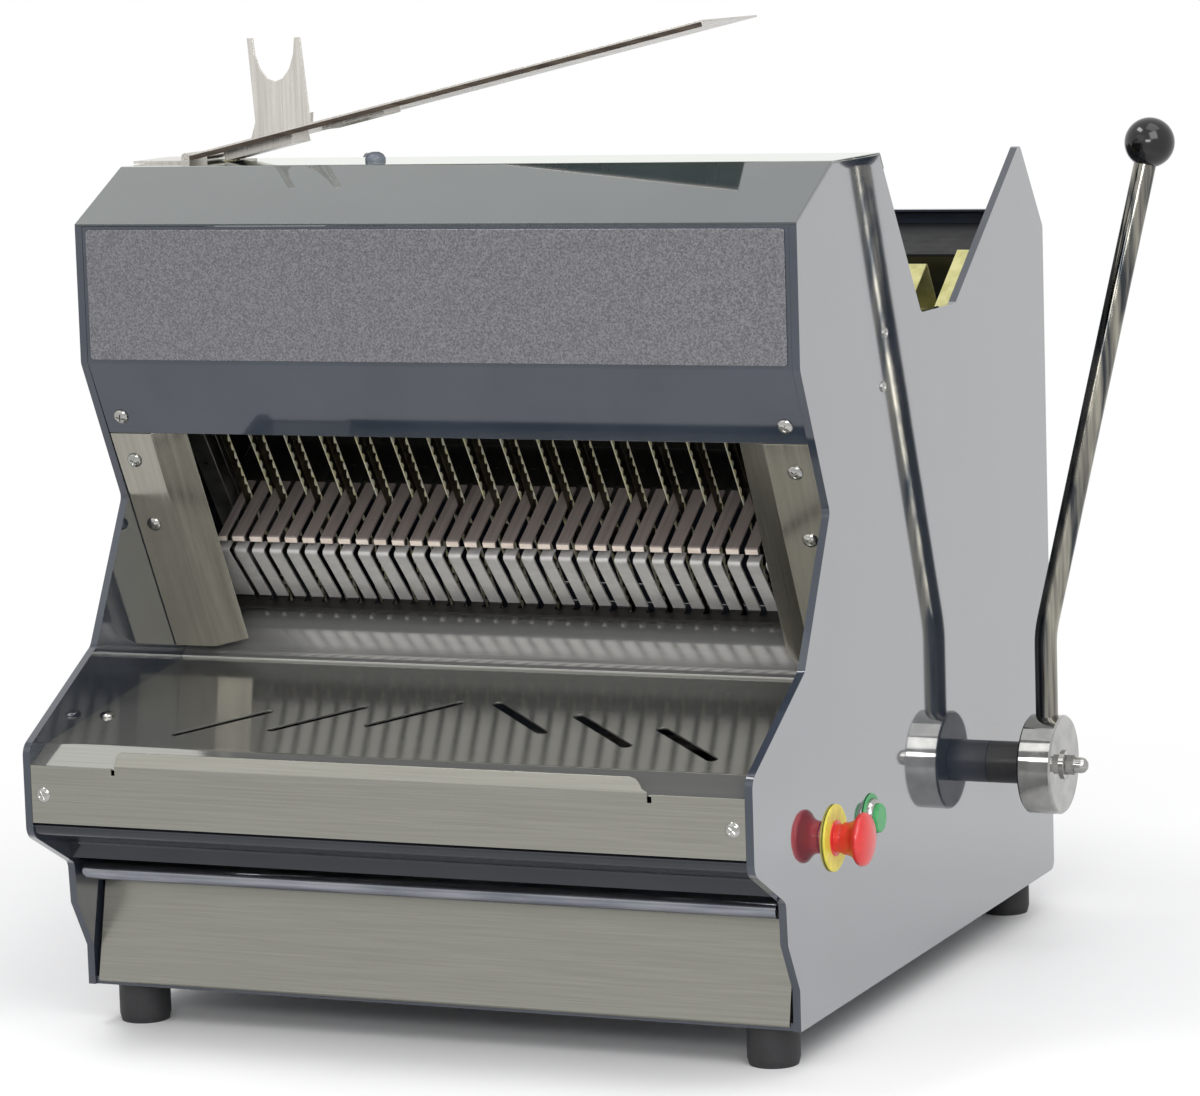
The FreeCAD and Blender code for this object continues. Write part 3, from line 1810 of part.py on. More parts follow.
bar = fused("crank_bar", [low_bar, bend, high_bar])
register(place(bar, *lever_foot, lever_turn), "crank_bar")

knob_ball = document.addObject("Part::Sphere", "knob_ball")
bind(knob_ball, "Radius", size.knob_radius)
knob_socket = cylinder(
    "knob_socket", bar_bore, size.knob_seat, (0, 0, -size.knob_radius), ALONG_Z
)
knob = place(
    cut_away("knob_drilled", knob_ball, knob_socket),
    size.lever_high * sine(size.lever_lean),
    0,
    size.lever_low + size.lever_high * cosine(size.lever_lean),
    (AXIS_Y, size.lever_lean),
)
place(group("crank_knob", [knob]), *lever_foot, lever_turn)

washer = turned(
    "lever_washer",
    ring_outline(stud_bore, size.washer_radius, 0, size.washer_thickness),
    (mid_x + nut_start, *hub_place),
    ALONG_RIGHT,
    node=False,
)
hex_blank = hexagon(
    "lever_nut_blank", size.hex_radius, size.hex_height, (mid_x + hex_start, *hub_place), ALONG_RIGHT
)
hex_bore = cylinder(
    "lever_nut_bore", stud_bore, size.hex_height, (mid_x + hex_start, *hub_place), ALONG_RIGHT
)
hex_nut = cut_away("lever_nut", hex_blank, hex_bore)
cap_nut = turned(
    "lever_cap",
    [
        (stud_bore, 0),
        (size.cap_radius, 0),
        (size.cap_radius, size.cap_height * 0.5),
        (size.cap_radius * 0.87, size.cap_height * 0.75),
        (size.cap_radius * 0.5, size.cap_height * 0.93),
        (0, size.cap_height),
        (0, size.cap_height * 0.7),
        (stud_bore, size.cap_height * 0.7),
    ],
    (mid_x + cap_start, *hub_place),
    ALONG_RIGHT,
    node=False,
)
group("crank_nuts", [washer, hex_nut, cap_nut])

pin_distance = derived("pin_distance", hub_below + size.pin_height)
arm_lean = derived(
    "arm_lean",
    size.tilt_angle + arctangent(hub_along - size.pusher_back - size.fork_offset, pin_distance),
)
slot_half = derived("slot_half", size.pin_radius + size.fork_play)


def lever_arm(name, low):
    """A forked arm: its closed end turns on the lever shaft, its fork drives a pusher pin."""
    body = new_body(name)
    sketch = new_sketch(body, "YZ_Plane", f"{name}_outline")
    half = size.arm_width / 2
    outline = [
        (-half, -half - 1),
        (half, -half - 1),
        (half, size.arm_reach),
        (slot_half, size.arm_reach),
        (slot_half, size.fork_slot_start),
        (-slot_half, size.fork_slot_start),
        (-slot_half, size.arm_reach),
        (-half, size.arm_reach),
    ]
    draw_polygon(sketch, outline)
    draw_circle(sketch, 0, 0, lever_bore)
    blank = pad(body, sketch, size.arm_thickness)
    blank = rounded(body, blank, outline[:2], half - 1)
    place(body, mid_x + low, *hub_place, (AXIS_X, arm_lean))
    return body


arm_half = size.arm_thickness / 2
group(
    "lever_arms",
    [
        lever_arm("lever_arm_left", -size.arm_side - arm_half),
        lever_arm("lever_arm_right", size.arm_side - arm_half),
    ],
)

# ---------------------------------------------------------------- pusher

pusher_far = derived("pusher_far", size.pusher_back + size.pusher_thickness)
ear_near = derived("ear_near", size.pusher_back - size.ear_half_length)
ear_far = derived("ear_far", size.pusher_back + size.ear_half_length)
pusher_pieces = [
    tilted_prism(
        "pusher_face",
        [
            (size.pusher_back, size.pusher_lift),
            (pusher_far, size.pusher_lift),
            (pusher_far, size.pusher_height),
            (size.pusher_back, size.pusher_height),
        ],
        -size.ear_side,
        size.ear_side,
        node=False,
    )
]
ear_outline = [
    (ear_near, -size.ear_drop),
    (ear_far, -size.ear_drop),
    (ear_far, size.ear_height),
    (ear_near, size.ear_height),
]
shoe_pieces = []
pin_back, pin_up = feed_point(size.pusher_back, size.pin_height)
for side, name in conrod_sides:
    low_x = size.ear_side if side > 0 else -size.ear_side - size.ear_thickness
    ear = tilted_prism(
        f"pusher_ear_{name}", ear_outline, low_x, low_x + size.ear_thickness, node=False
    )
    pusher_pieces.append(ear)
    shoe_x = size.ear_side - size.shoe_width if side > 0 else -size.ear_side
    shoe_high = -size.sheet_thickness - size.slide_gap
    shoe_low = shoe_high - size.shoe_height
    shoe_outline = [
        (ear_near + 2, shoe_low),
        (ear_far - 2, shoe_low),
        (ear_far - 2, shoe_high),
        (ear_near + 2, shoe_high),
    ]
    shoe = tilted_prism(
        f"pusher_shoe_{name}", shoe_outline, shoe_x, shoe_x + size.shoe_width, node=False
    )
    shoe_pieces.append(shoe)
    pin_x = size.ear_side + size.ear_thickness if side > 0 else -size.pin_end
    pin_length = size.pin_end - size.ear_side - size.ear_thickness
    pin = cylinder(
        f"pusher_pin_{name}",
        size.pin_radius,
        pin_length,
        (mid_x + pin_x, pin_back, pin_up),
        ALONG_RIGHT,
    )
    shoe_pieces.append(pin)
register(fused("pusher_bend", pusher_pieces), "pusher_plate")
group("pusher_guides", shoe_pieces)

# ---------------------------------------------------------------- controls

collar_barrel = derived("collar_barrel", size.control_hole_radius - size.fit_clearance)
barrel_depth = derived("barrel_depth", size.panel_thickness + 1)
estop_place = (size.estop_back, size.control_height)
start_place = (size.start_back, size.control_height)
estop_start = derived("estop_start", half_width + size.estop_plate_thickness)
start_face = derived("start_face", half_width + size.start_plate_thickness)
stem_bore = derived("stem_bore", size.estop_stem_radius + size.fit_clearance)
cap_lift = derived("cap_lift", size.estop_collar_length + size.estop_travel + size.control_gap)
estop_plate = turned(
    "estop_plate",
    ring_outline(size.control_hole_radius, size.estop_plate_radius, 0, size.estop_plate_thickness),
    (mid_x + half_width, *estop_place),
    ALONG_RIGHT,
    node=False,
)
estop_collar = turned(
    "estop_collar",
    [
        (stem_bore, -barrel_depth - size.estop_plate_thickness),
        (collar_barrel, -barrel_depth - size.estop_plate_thickness),
        (collar_barrel, 0),
        (size.estop_collar_radius, 0),
        (size.estop_collar_radius, size.estop_collar_length),
        (stem_bore, size.estop_collar_length),
    ],
    (mid_x + estop_start, *estop_place),
    ALONG_RIGHT,
    node=False,
)
group("estop_base", [estop_plate, estop_collar])
stem_low = derived(
    "stem_low",
    size.estop_travel + size.control_gap - barrel_depth - size.estop_plate_thickness,
)
cap_seat = derived("cap_seat", size.estop_cap_length / 2)
turned(
    "estop_stem",
    [
        (0, stem_low),
        (size.estop_stem_radius, stem_low),
        (size.estop_stem_radius, cap_lift + cap_seat),
        (0, cap_lift + cap_seat),
    ],
    (mid_x + estop_start, *estop_place),
    ALONG_RIGHT,
)
turned(
    "estop_cap",
    [
        (stem_bore, cap_lift),
        (size.estop_cap_radius - 2, cap_lift),
        (size.estop_cap_radius, cap_lift + 2),
        (size.estop_cap_radius, cap_lift + size.estop_cap_length - size.estop_cap_round),
        (size.estop_cap_radius * 0.93, cap_lift + size.estop_cap_length - 3),
        (size.estop_cap_radius * 0.75, cap_lift + size.estop_cap_length - 1),
        (size.estop_cap_radius * 0.4, cap_lift + size.estop_cap_length),
        (0, cap_lift + size.estop_cap_length),
        (0, cap_lift + cap_seat + size.fit_clearance),
        (stem_bore, cap_lift + cap_seat + size.fit_clearance),
    ],
    (mid_x + estop_start, *estop_place),
    ALONG_RIGHT,
)
start_plate = turned(
    "start_plate",
    ring_outline(size.control_hole_radius, size.start_plate_radius, 0, size.start_plate_thickness),
    (mid_x + half_width, *start_place),
    ALONG_RIGHT,
    node=False,
)
button_bore = derived("button_bore", size.start_button_radius + size.control_gap)
plunger_bore = derived("plunger_bore", size.plunger_radius + size.fit_clearance)
start_bezel = turned(
    "start_bezel",
    [
        (plunger_bore, -barrel_depth - size.start_plate_thickness),
        (collar_barrel, -barrel_depth - size.start_plate_thickness),
        (collar_barrel, 0),
        (size.start_bezel_radius, 0),
        (size.start_bezel_radius, size.start_bezel_length - 1),
        (size.start_bezel_radius - 1, size.start_bezel_length),
        (button_bore, size.start_bezel_length),
        (button_bore, 1),
        (plunger_bore, 1),
    ],
    (mid_x + start_face, *start_place),
    ALONG_RIGHT,
    node=False,
)
group("start_base", [start_plate, start_bezel])
button_low = derived("button_low", size.start_travel + size.control_gap + 1)
plunger_low = derived(
    "plunger_low",
    size.start_travel + size.control_gap - barrel_depth - size.start_plate_thickness,
)
turned(
    "start_button",
    [
        (0, plunger_low),
        (size.plunger_radius, plunger_low),
        (size.plunger_radius, button_low),
        (size.start_button_radius, button_low),
        (size.start_button_radius, button_low + size.start_button_length - 1),
        (size.start_button_radius - 1, button_low + size.start_button_length),
        (0, button_low + size.start_button_length),
    ],
    (mid_x + start_face, *start_place),
    ALONG_RIGHT,
)
contact_end = derived("contact_end", inner - 1)
contacts = [
    box(
        f"contact_block_{name}",
        size.contact_depth,
        size.contact_size,
        size.contact_size,
        (
            mid_x + contact_end - size.contact_depth,
            back - size.contact_size / 2,
            size.control_height - size.contact_size / 2,
        ),
    )
    for name, back in (("estop", size.estop_back), ("start", size.start_back))
]
group("contact_blocks", contacts)

# ---------------------------------------------------------------- bagging plate

cover_top = derived("cover_top", size.top_height + size.sheet_thickness)
hinge_x = derived("hinge_x", mid_x + size.hinge_side)
hinge_height = derived("hinge_height", cover_top + size.hinge_rise)
plate_rear = derived("plate_rear", size.plate_front + size.plate_depth)
hinge_bore = derived("hinge_bore", size.hinge_radius + size.fit_clearance)
knuckle_reach = size.knuckle_outer
leaf_pieces = [
    box(
        "leaf_tab",
        size.tab_reach - knuckle_reach,
        size.tab_width,
        size.tab_thickness,
        (mid_x + tab_end, size.plate_front, cover_top),
    ),
    box(
        "leaf_strip",
        size.leaf_width,
        size.plate_depth,
        size.tab_thickness,
        (hinge_x - knuckle_reach - size.leaf_width, size.plate_front, cover_top),
    ),
]
for name, start in (
    ("front", size.plate_front),
    ("rear", plate_rear - size.knuckle_length),
):
    leaf_pieces.append(
        box(
            f"leaf_post_{name}",
            knuckle_reach * 2,
            size.knuckle_length,
            hinge_height - cover_top,
            (hinge_x - knuckle_reach, start, cover_top),
        )
    )
    leaf_pieces.append(
        cylinder(
            f"leaf_knuckle_{name}",
            knuckle_reach,
            size.knuckle_length,
            (hinge_x, start, hinge_height),
            ALONG_BACK,
        )
    )
leaf_bore = cylinder(
    "leaf_bore",
    hinge_bore,
    size.plate_depth,
    (hinge_x, size.plate_front, hinge_height),
    ALONG_BACK,
)
leaf = cut_away("leaf_drilled", fused("leaf", leaf_pieces), leaf_bore)
hinge_pin = cylinder(
    "bagging_pin",
    size.hinge_radius,
    size.plate_depth,
    (hinge_x, size.plate_front, hinge_height),
    ALONG_BACK,
)
group("bagging_bracket", [leaf, hinge_pin])

plate_turn = (AXIS_Y, derived("plate_turn", -size.plate_angle))
plate_start = derived("plate_start", knuckle_reach + size.slide_gap)
knuckle_span = derived(
    "knuckle_span", size.plate_depth - (size.knuckle_length + size.slide_gap) * 2
)


def plate_sheet(name, outline, start, depth):
    """A piece of the bagging plate, drawn along and above it, `start` behind its front."""
    body = new_body(name)
    sketch = new_sketch(body, "XZ_Plane", f"{name}_outline", lift=-start)
    draw_polygon(sketch, outline)
    pad(body, sketch, depth, reverse=True)
    return body


main_sheet = plate_sheet(
    "plate_main",
    [
        (plate_start, 0),
        (size.plate_length, 0),
        (size.plate_length, size.plate_thickness),
        (plate_start, size.plate_thickness),
    ],
    0,
    size.plate_depth,
)
flange_start = derived("flange_start", size.bracket_start)
front_flange = box(
    "plate_flange",
    size.plate_length - flange_start,
    size.plate_thickness,
    size.plate_flange,
    (flange_start, 0, -size.plate_flange),
)
knuckle_start = derived("knuckle_start", size.knuckle_length + size.slide_gap)
middle_knuckle = cylinder(
    "plate_knuckle", knuckle_reach, knuckle_span, (0, knuckle_start, 0), ALONG_BACK
)
knuckle_web = box(
    "plate_knuckle_web",
    knuckle_reach + 2,
    knuckle_span,
    size.plate_thickness,
    (0, knuckle_start, 0),
)
plate_blank = fused("plate_bend", [main_sheet, front_flange, middle_knuckle, knuckle_web])
plate_bore = cylinder("plate_bore", hinge_bore, size.plate_depth, (0, 0, 0), ALONG_BACK)
hinge_place = (hinge_x, size.plate_front, hinge_height)
plate = place(cut_away("plate_drilled", plate_blank, plate_bore), *hinge_place, plate_turn)
register(plate, "bagging_plate")

fork_low = size.plate_thickness
fork_end = derived("fork_end", size.fork_start + size.fork_foot_width)


def level(across, height):
    """A point measured level from the hinge, in the frame of the tilted plate."""
    return (
        across * cosine(size.plate_angle) + height * sine(size.plate_angle),
        height * cosine(size.plate_angle) - across * sine(size.plate_angle),
    )


crotch_middle = derived("crotch_middle", size.fork_left + size.fork_width / 2)
crotch_half = derived("crotch_half", size.fork_width / 2 - size.fork_prong)
crotch = [
    level(
        crotch_middle + crotch_half * cosine(180 * (step / 8)),
        size.fork_height - size.fork_crotch * sine(180 * (step / 8)),
    )
    for step in range(9)
]
fork_tips = [
    level(size.fork_left + size.fork_width, size.fork_height),
    level(size.fork_left, size.fork_height),
]
fork_upright = plate_sheet(
    "fork_upright",
    [(size.fork_start, fork_low), (fork_end, fork_low), fork_tips[0]]
    + crotch
    + [fork_tips[1]],
    size.fork_back,
    size.plate_thickness,
)
foot_left = derived("foot_left", size.fork_left + size.fork_foot_lean)
fork_base = plate_sheet(
    "fork_base",
    [
        (size.fork_start - size.fork_prong, fork_low),
        (fork_end, fork_low),
        level(foot_left + size.fork_width, size.fork_foot),
        level(foot_left, size.fork_foot),
    ],
    size.fork_back,
    size.fork_foot_depth,
)
fork = place(fused("fork_bend", [fork_upright, fork_base]), *hinge_place, plate_turn)
register(fork, "bagging_fork")

bracket_end = derived("bracket_end", size.bracket_start + size.bracket_length)
wedge = plate_sheet(
    "stay_wedge",
    [
        (size.bracket_start, -size.bracket_low),
        (bracket_end, -size.bracket_high),
        (bracket_end, 0),
        (size.bracket_start, 0),
    ],
    size.stay_back,
    size.stay_width,
)
strip = plate_sheet(
    "stay_strip",
    [
        (size.stay_start, -size.stay_height),
        (size.stay_start + size.stay_length, -size.stay_height),
        (size.stay_start + size.stay_length, 0),
        (size.stay_start, 0),
    ],
    size.stay_back,
    size.stay_width,
)
place(group("bagging_stay", [wedge, strip]), *hinge_place, plate_turn)

turned(
    "stop_dome",
    [
        (0, 0),
        (size.stop_radius, 0),
        (size.stop_radius, size.stop_height * 0.3),
        (size.stop_radius * 0.8, size.stop_height * 0.7),
        (size.stop_radius * 0.4, size.stop_height * 0.96),
        (0, size.stop_height),
    ],
    (mid_x + size.stop_across, size.stop_back, cover_top),
    ALONG_Z,
)

# ---------------------------------------------------------------- screws and gland

turned(
    "cable_gland",
    [
        (size.gland_radius / 3, -size.gland_length),
        (size.gland_radius - 3 - size.fit_clearance, -size.gland_length),
        (size.gland_radius - 3 - size.fit_clearance, 0),
        (size.gland_radius, 0),
        (size.gland_radius * 0.8, size.gland_length),
        (size.gland_radius / 3, size.gland_length),
    ],
    (mid_x - size.gland_side, rear_line_y, size.gland_back_height),
    ALONG_BACK,
)
small_screw_template = turned(
    "small_screw",
    [
        (0, -size.screw_shank_length),
        (size.screw_shank_radius, -size.screw_shank_length),
        (size.screw_shank_radius, 0),
        (size.small_screw_radius, 0),
        (size.small_screw_radius * 0.7, size.screw_shank_radius * 0.8),
        (0, size.screw_shank_radius * 0.8),
    ],
    (0, 0, 0),
    ALONG_Z,
    node=False,
)
side_screws = [
    (
        (
            mid_x + half_width,
            size.side_screw_back + index * size.side_screw_step_back,
            size.side_screw_height + index * size.side_screw_step_height,
        ),
        ALONG_RIGHT,
    )
    for index in range(2)
]
drilled("side_panel_right", right_panel, side_screws, drill_template)
dome_places = hood_screws + guard_screws + tray_screws
dome_screws = links("dome_screw", screw_template, dome_places)
small_screws = links("small_screw", small_screw_template, side_screws)
group("casing_screws", dome_screws + small_screws)

# ---------------------------------------------------------------- checks and export

document.recompute()
for thing in document.Objects:
    if {"Invalid", "Error"} & set(thing.State):
        raise RuntimeError(f"{thing.Label} did not recompute: {thing.State}")
os.makedirs("parts", exist_ok=True)
for label, thing in parts.items():
    if thing.Shape.isNull() or not thing.Shape.isValid():
        raise RuntimeError(f"{label} has no valid shape")
    thing.Shape.exportStep(f"parts/{label}.step")
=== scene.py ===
import json
import math

import bmesh
import bpy
from mathutils import Matrix, Vector


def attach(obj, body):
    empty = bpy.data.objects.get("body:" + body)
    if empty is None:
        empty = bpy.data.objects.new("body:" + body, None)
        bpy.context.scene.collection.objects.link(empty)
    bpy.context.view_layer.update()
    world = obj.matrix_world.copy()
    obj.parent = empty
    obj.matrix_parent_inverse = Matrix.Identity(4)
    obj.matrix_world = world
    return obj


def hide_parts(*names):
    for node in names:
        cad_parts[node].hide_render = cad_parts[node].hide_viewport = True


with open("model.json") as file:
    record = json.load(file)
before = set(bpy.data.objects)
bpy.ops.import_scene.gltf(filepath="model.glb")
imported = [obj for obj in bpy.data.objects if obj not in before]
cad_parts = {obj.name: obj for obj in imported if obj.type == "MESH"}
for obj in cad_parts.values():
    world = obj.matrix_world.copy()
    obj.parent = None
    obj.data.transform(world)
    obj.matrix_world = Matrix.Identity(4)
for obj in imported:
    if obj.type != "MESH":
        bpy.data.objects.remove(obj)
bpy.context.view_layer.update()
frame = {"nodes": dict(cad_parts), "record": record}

scene = bpy.context.scene
nodes = frame["nodes"]


# Colours are written as they look on a screen and turned into linear light.
def srgb(red, green, blue):
    def channel(value):
        value /= 255
        return value / 12.92 if value <= 0.04045 else ((value + 0.055) / 1.055) ** 2.4

    return (channel(red), channel(green), channel(blue), 1)


# ---------------------------------------------------------------- materials
# Every finish by its name.
FINISHES = {}


def triple(value):
    """One scale for all three directions, or three of them."""
    return value if isinstance(value, tuple) else (value,) * 3


def finish(name, dark, light, rough, metal=0.0, grain=40, bump=0.1, bump_size=0.0002, bump_grain=None,
           coat=0.0, coat_rough=0.05, coat_ior=1.5, coat_tint=(1, 1, 1, 1), ior=1.5, gloss=None, front_shade=None):
    """A procedural finish: two tones mixed by noise, roughness that varies, and a fine bump.

    gloss: the clear coat goes from weak, where the surface faces the eye, to strong, where it is seen aslant.
    front_shade: painted shade; two places from front to back in metres and a colour; behind both the tones are as
    given, and towards the front they darken into that colour, standing in for the shade deep in the machine."""
    material = bpy.data.materials.new(name)
    material.use_nodes = True
    tree = material.node_tree
    shader = tree.nodes["Principled BSDF"]
    link = tree.links.new
    place = tree.nodes.new("ShaderNodeTexCoord")

    def noise(scale, detail):
        mapping = tree.nodes.new("ShaderNodeMapping")
        mapping.inputs["Scale"].default_value = triple(scale)
        link(place.outputs["Object"], mapping.inputs["Vector"])
        made = tree.nodes.new("ShaderNodeTexNoise")
        made.inputs["Scale"].default_value = 1
        made.inputs["Detail"].default_value = detail
        link(mapping.outputs["Vector"], made.inputs["Vector"])
        return made.outputs["Fac"]

    def remap(value, low, high, to_low=0.0, to_high=1.0):
        made = tree.nodes.new("ShaderNodeMapRange")
        for key, number in (("From Min", low), ("From Max", high), ("To Min", to_low), ("To Max", to_high)):
            made.inputs[key].default_value = number
        link(value, made.inputs["Value"])
        return made.outputs["Result"]

    tint = tree.nodes.new("ShaderNodeValToRGB")
    for stop, position, tone in zip(tint.color_ramp.elements, (0.35, 0.65), (dark, light)):
        stop.position = position
        stop.color = tone
    link(noise(grain, 3.0), tint.inputs["Fac"])
    colour = tint.outputs["Color"]
    # Painted shade: the tones darken towards the front.
    if front_shade:
        parts = tree.nodes.new("ShaderNodeSeparateXYZ")
        link(place.outputs["Object"], parts.inputs[0])
        shade = tree.nodes.new("ShaderNodeMix")
        shade.data_type = "RGBA"
        link(remap(parts.outputs["Y"], front_shade[0], front_shade[1]), shade.inputs[0])
        shade.inputs[6].default_value = front_shade[2]
        link(colour, shade.inputs[7])
        colour = shade.outputs[2]
    link(colour, shader.inputs["Base Color"])
    link(remap(noise(grain, 3.0), 0.3, 0.7, *rough), shader.inputs["Roughness"])
    if bump:
        relief = tree.nodes.new("ShaderNodeBump")
        relief.inputs["Strength"].default_value = bump
        relief.inputs["Distance"].default_value = bump_size
        link(noise(bump_grain or grain, 5.0), relief.inputs["Height"])
        link(relief.outputs["Normal"], shader.inputs["Normal"])
        if coat:
            link(relief.outputs["Normal"], shader.inputs["Coat Normal"])
    for key, number in (("Metallic", metal), ("IOR", ior), ("Coat Weight", coat), ("Coat Roughness", coat_rough),
                        ("Coat IOR", coat_ior), ("Coat Tint", coat_tint)):
        shader.inputs[key].default_value = number
    if gloss:
        aslant = tree.nodes.new("ShaderNodeLayerWeight")
        link(remap(aslant.outputs["Facing"], *gloss), shader.inputs["Coat Weight"])
    FINISHES[name] = material
    return material


finish("anthracite", srgb(44, 50, 60), srgb(50, 56, 66), (0.03, 0.05), grain=14, bump=0.02,
       bump_grain=700, coat_rough=0.035, coat_ior=3.6, gloss=(0.36, 0.64, 0.05, 0.8))
# The hood's top: the anthracite with a green tint in its coat, a painted reflection of a green wall.
finish("hood_paint_green_reflection", srgb(44, 52, 56), srgb(50, 58, 62), (0.03, 0.05), grain=14, bump=0.02,
       bump_grain=700, coat_rough=0.035, coat_ior=3.6, gloss=(0.36, 0.64, 0.05, 0.8),
       coat_tint=(0.94, 1.0, 0.88, 1))
finish("matte_dark", srgb(13, 14, 16), srgb(20, 21, 23), (0.6, 0.75), grain=60, bump=0.1, bump_grain=900,
       ior=1.3)
finish("yellow_zinc", srgb(176, 172, 112), srgb(200, 196, 140), (0.32, 0.42), 0.5, grain=90, bump=0.06,
       bump_grain=900)
# The floor supports' yellow zinc, with painted shade that darkens their front part, deep in the machine.
finish("support_zinc_shaded", srgb(176, 172, 112), srgb(200, 196, 140), (0.32, 0.42), 0.4, grain=90, bump=0.06,
       bump_grain=900, front_shade=(0.05, 0.09, srgb(30, 29, 27)))
# Light strips along the front edges of the feed fingers: painted highlights.
finish("painted_highlight_edge", srgb(222, 206, 192), srgb(240, 228, 216), (0.35, 0.45), 0.2, grain=(60, 200, 200),
       bump=0.05, bump_grain=900)
# A dark strip along the bagging plate's edge: painted shade.
finish("painted_shade_edge", srgb(56, 46, 40), srgb(84, 74, 64), (0.3, 0.4), 0.6, grain=(30, 300, 300), bump=0.05,
       bump_grain=900)
# A darker copy of the anthracite without its gloss: painted shade on the rail beneath the tray.
finish("rail_shaded_paint", srgb(24, 27, 34), srgb(30, 33, 41), (0.1, 0.14), grain=14, bump=0.02,
       bump_grain=700)
# The drawer's rolled pull: steel tinted blue-grey, a painted reflection of the navy rail above it.
finish("pull_steel_navy_reflection", srgb(110, 113, 121), srgb(142, 144, 150), (0.14, 0.22), 0.9, grain=(14, 160, 160),
       bump=0.06, bump_grain=(60, 900, 900))
# Steel painted dark: painted shade for the pusher plate, the comb's foot and the middle of the feed floor, deep in
# the machine.
finish("painted_shade_steel", srgb(26, 25, 24), srgb(38, 36, 34), (0.4, 0.5), 0.4, grain=(200, 30, 30), bump=0.06,
       bump_grain=(900, 60, 60))
# Near-white strips on the blades' ground edges: painted glints.
finish("painted_glint_edge", srgb(252, 244, 196), srgb(255, 254, 236), (0.3, 0.4), 0.0, grain=(60, 160, 160),
       bump=0.1, bump_grain=900)
finish("plate_steel", srgb(190, 186, 180), srgb(206, 202, 196), (0.2, 0.28), 0.85, grain=(400, 14, 14),
       bump=0.05, bump_grain=(1500, 30, 30))
finish("grey_plastic", srgb(104, 110, 120), srgb(118, 124, 134), (0.35, 0.45), grain=200, bump=0.08,
       bump_grain=900)
finish("dark_plate", srgb(104, 104, 107), srgb(138, 138, 143), (0.2, 0.34), 1.0, grain=820, bump=0.14,
       bump_grain=1300)
finish("stainless", srgb(136, 135, 127), srgb(144, 143, 135), (0.2, 0.26), 0.9, grain=(12, 1100, 1100),
       bump=0.05, bump_grain=(20, 2600, 2600))
finish("mirror_steel", srgb(166, 166, 160), srgb(174, 174, 168), (0.06, 0.1), 0.82, grain=(8, 700, 700),
       bump=0.08, bump_grain=(10, 2200, 2200))
finish("polished", srgb(140, 137, 128), srgb(150, 147, 138), (0.12, 0.18), 0.9, grain=(300, 12, 12),
       bump=0.008, bump_grain=(260, 20, 20))
finish("catch_steel", srgb(206, 206, 204), srgb(216, 216, 214), (0.13, 0.18), 0.8, grain=(8, 700, 700),
       bump=0.05, bump_grain=(10, 2200, 2200))
finish("comb_steel", srgb(188, 186, 184), srgb(198, 196, 192), (0.38, 0.46), 0.35, grain=(120, 160, 160),
       bump=0)
# The feed fingers' steel with a brown-mauve tint: steel, with a painted reflection of the dark interior.
finish("floor_steel_brown_reflection", srgb(134, 124, 120), srgb(152, 141, 136), (0.35, 0.45), 0.35, grain=(260, 8, 8),
       bump=0.08, bump_grain=(1500, 14, 14))
# The bands' steel painted dark brownish: painted shade and dark reflections of the machine's interior.
finish("blade_steel_shaded", srgb(74, 68, 56), srgb(104, 97, 82), (0.25, 0.35), 0.9, grain=(60, 75, 75),
       bump=0.2, bump_size=0.0003, bump_grain=(40, 300, 300))
finish("steel", srgb(150, 150, 148), srgb(176, 175, 170), (0.25, 0.4), 1.0, grain=60, bump=0.1,
       bump_grain=900)
finish("zinc", srgb(176, 178, 180), srgb(206, 206, 204), (0.18, 0.3), 1.0, grain=200, bump=0.08,
       bump_grain=900)
finish("chrome", srgb(150, 150, 147), srgb(172, 171, 168), (0.05, 0.1), 1.0, grain=60, bump=0.03,
       bump_grain=600)
# The lever bar's chrome with dark blue-grey and khaki streaks along it: painted reflections.
finish("bar_steel_painted_streaks", srgb(60, 64, 68), srgb(160, 156, 144), (0.08, 0.14), 1.0, grain=(160, 160, 5),
       bump=0.04, bump_grain=(500, 500, 20))
finish("rubber", srgb(28, 28, 30), srgb(40, 40, 42), (0.55, 0.75), grain=220, bump=0.3, bump_grain=1400)
finish("black_knob", srgb(9, 9, 10), srgb(14, 14, 15), (0.1, 0.16), grain=60, bump=0.03, bump_grain=500)
finish("black_plastic", srgb(26, 26, 28), srgb(36, 36, 38), (0.35, 0.5), grain=180, bump=0.15,
       bump_grain=1400)
finish("nylon", srgb(222, 218, 206), srgb(234, 231, 222), (0.4, 0.55), grain=90, bump=0.1,
       bump_grain=700)
finish("castings", srgb(92, 94, 98), srgb(112, 114, 116), (0.5, 0.7), 0.4, grain=90, bump=0.5,
       bump_size=0.0004, bump_grain=420)
finish("motor_paint", srgb(58, 66, 76), srgb(66, 75, 86), (0.35, 0.5), grain=50, bump=0.3,
       bump_grain=520, coat=0.2)
finish("red_plastic", srgb(196, 34, 34), srgb(208, 42, 40), (0.28, 0.4), grain=160, bump=0.08,
       bump_grain=900, coat=0.3)
finish("yellow_plastic", srgb(206, 194, 66), srgb(224, 213, 88), (0.35, 0.5), grain=160, bump=0.08,
       bump_grain=900)
finish("green_plastic", srgb(54, 142, 82), srgb(70, 160, 96), (0.3, 0.45), grain=160, bump=0.08,
       bump_grain=900)
finish("belt_rubber", srgb(22, 22, 23), srgb(32, 32, 33), (0.6, 0.8), grain=160, bump=0.4,
       bump_grain=900)

slot_of = {entry["node"]: entry["material_slot"] for entry in frame["record"]["subparts"]}

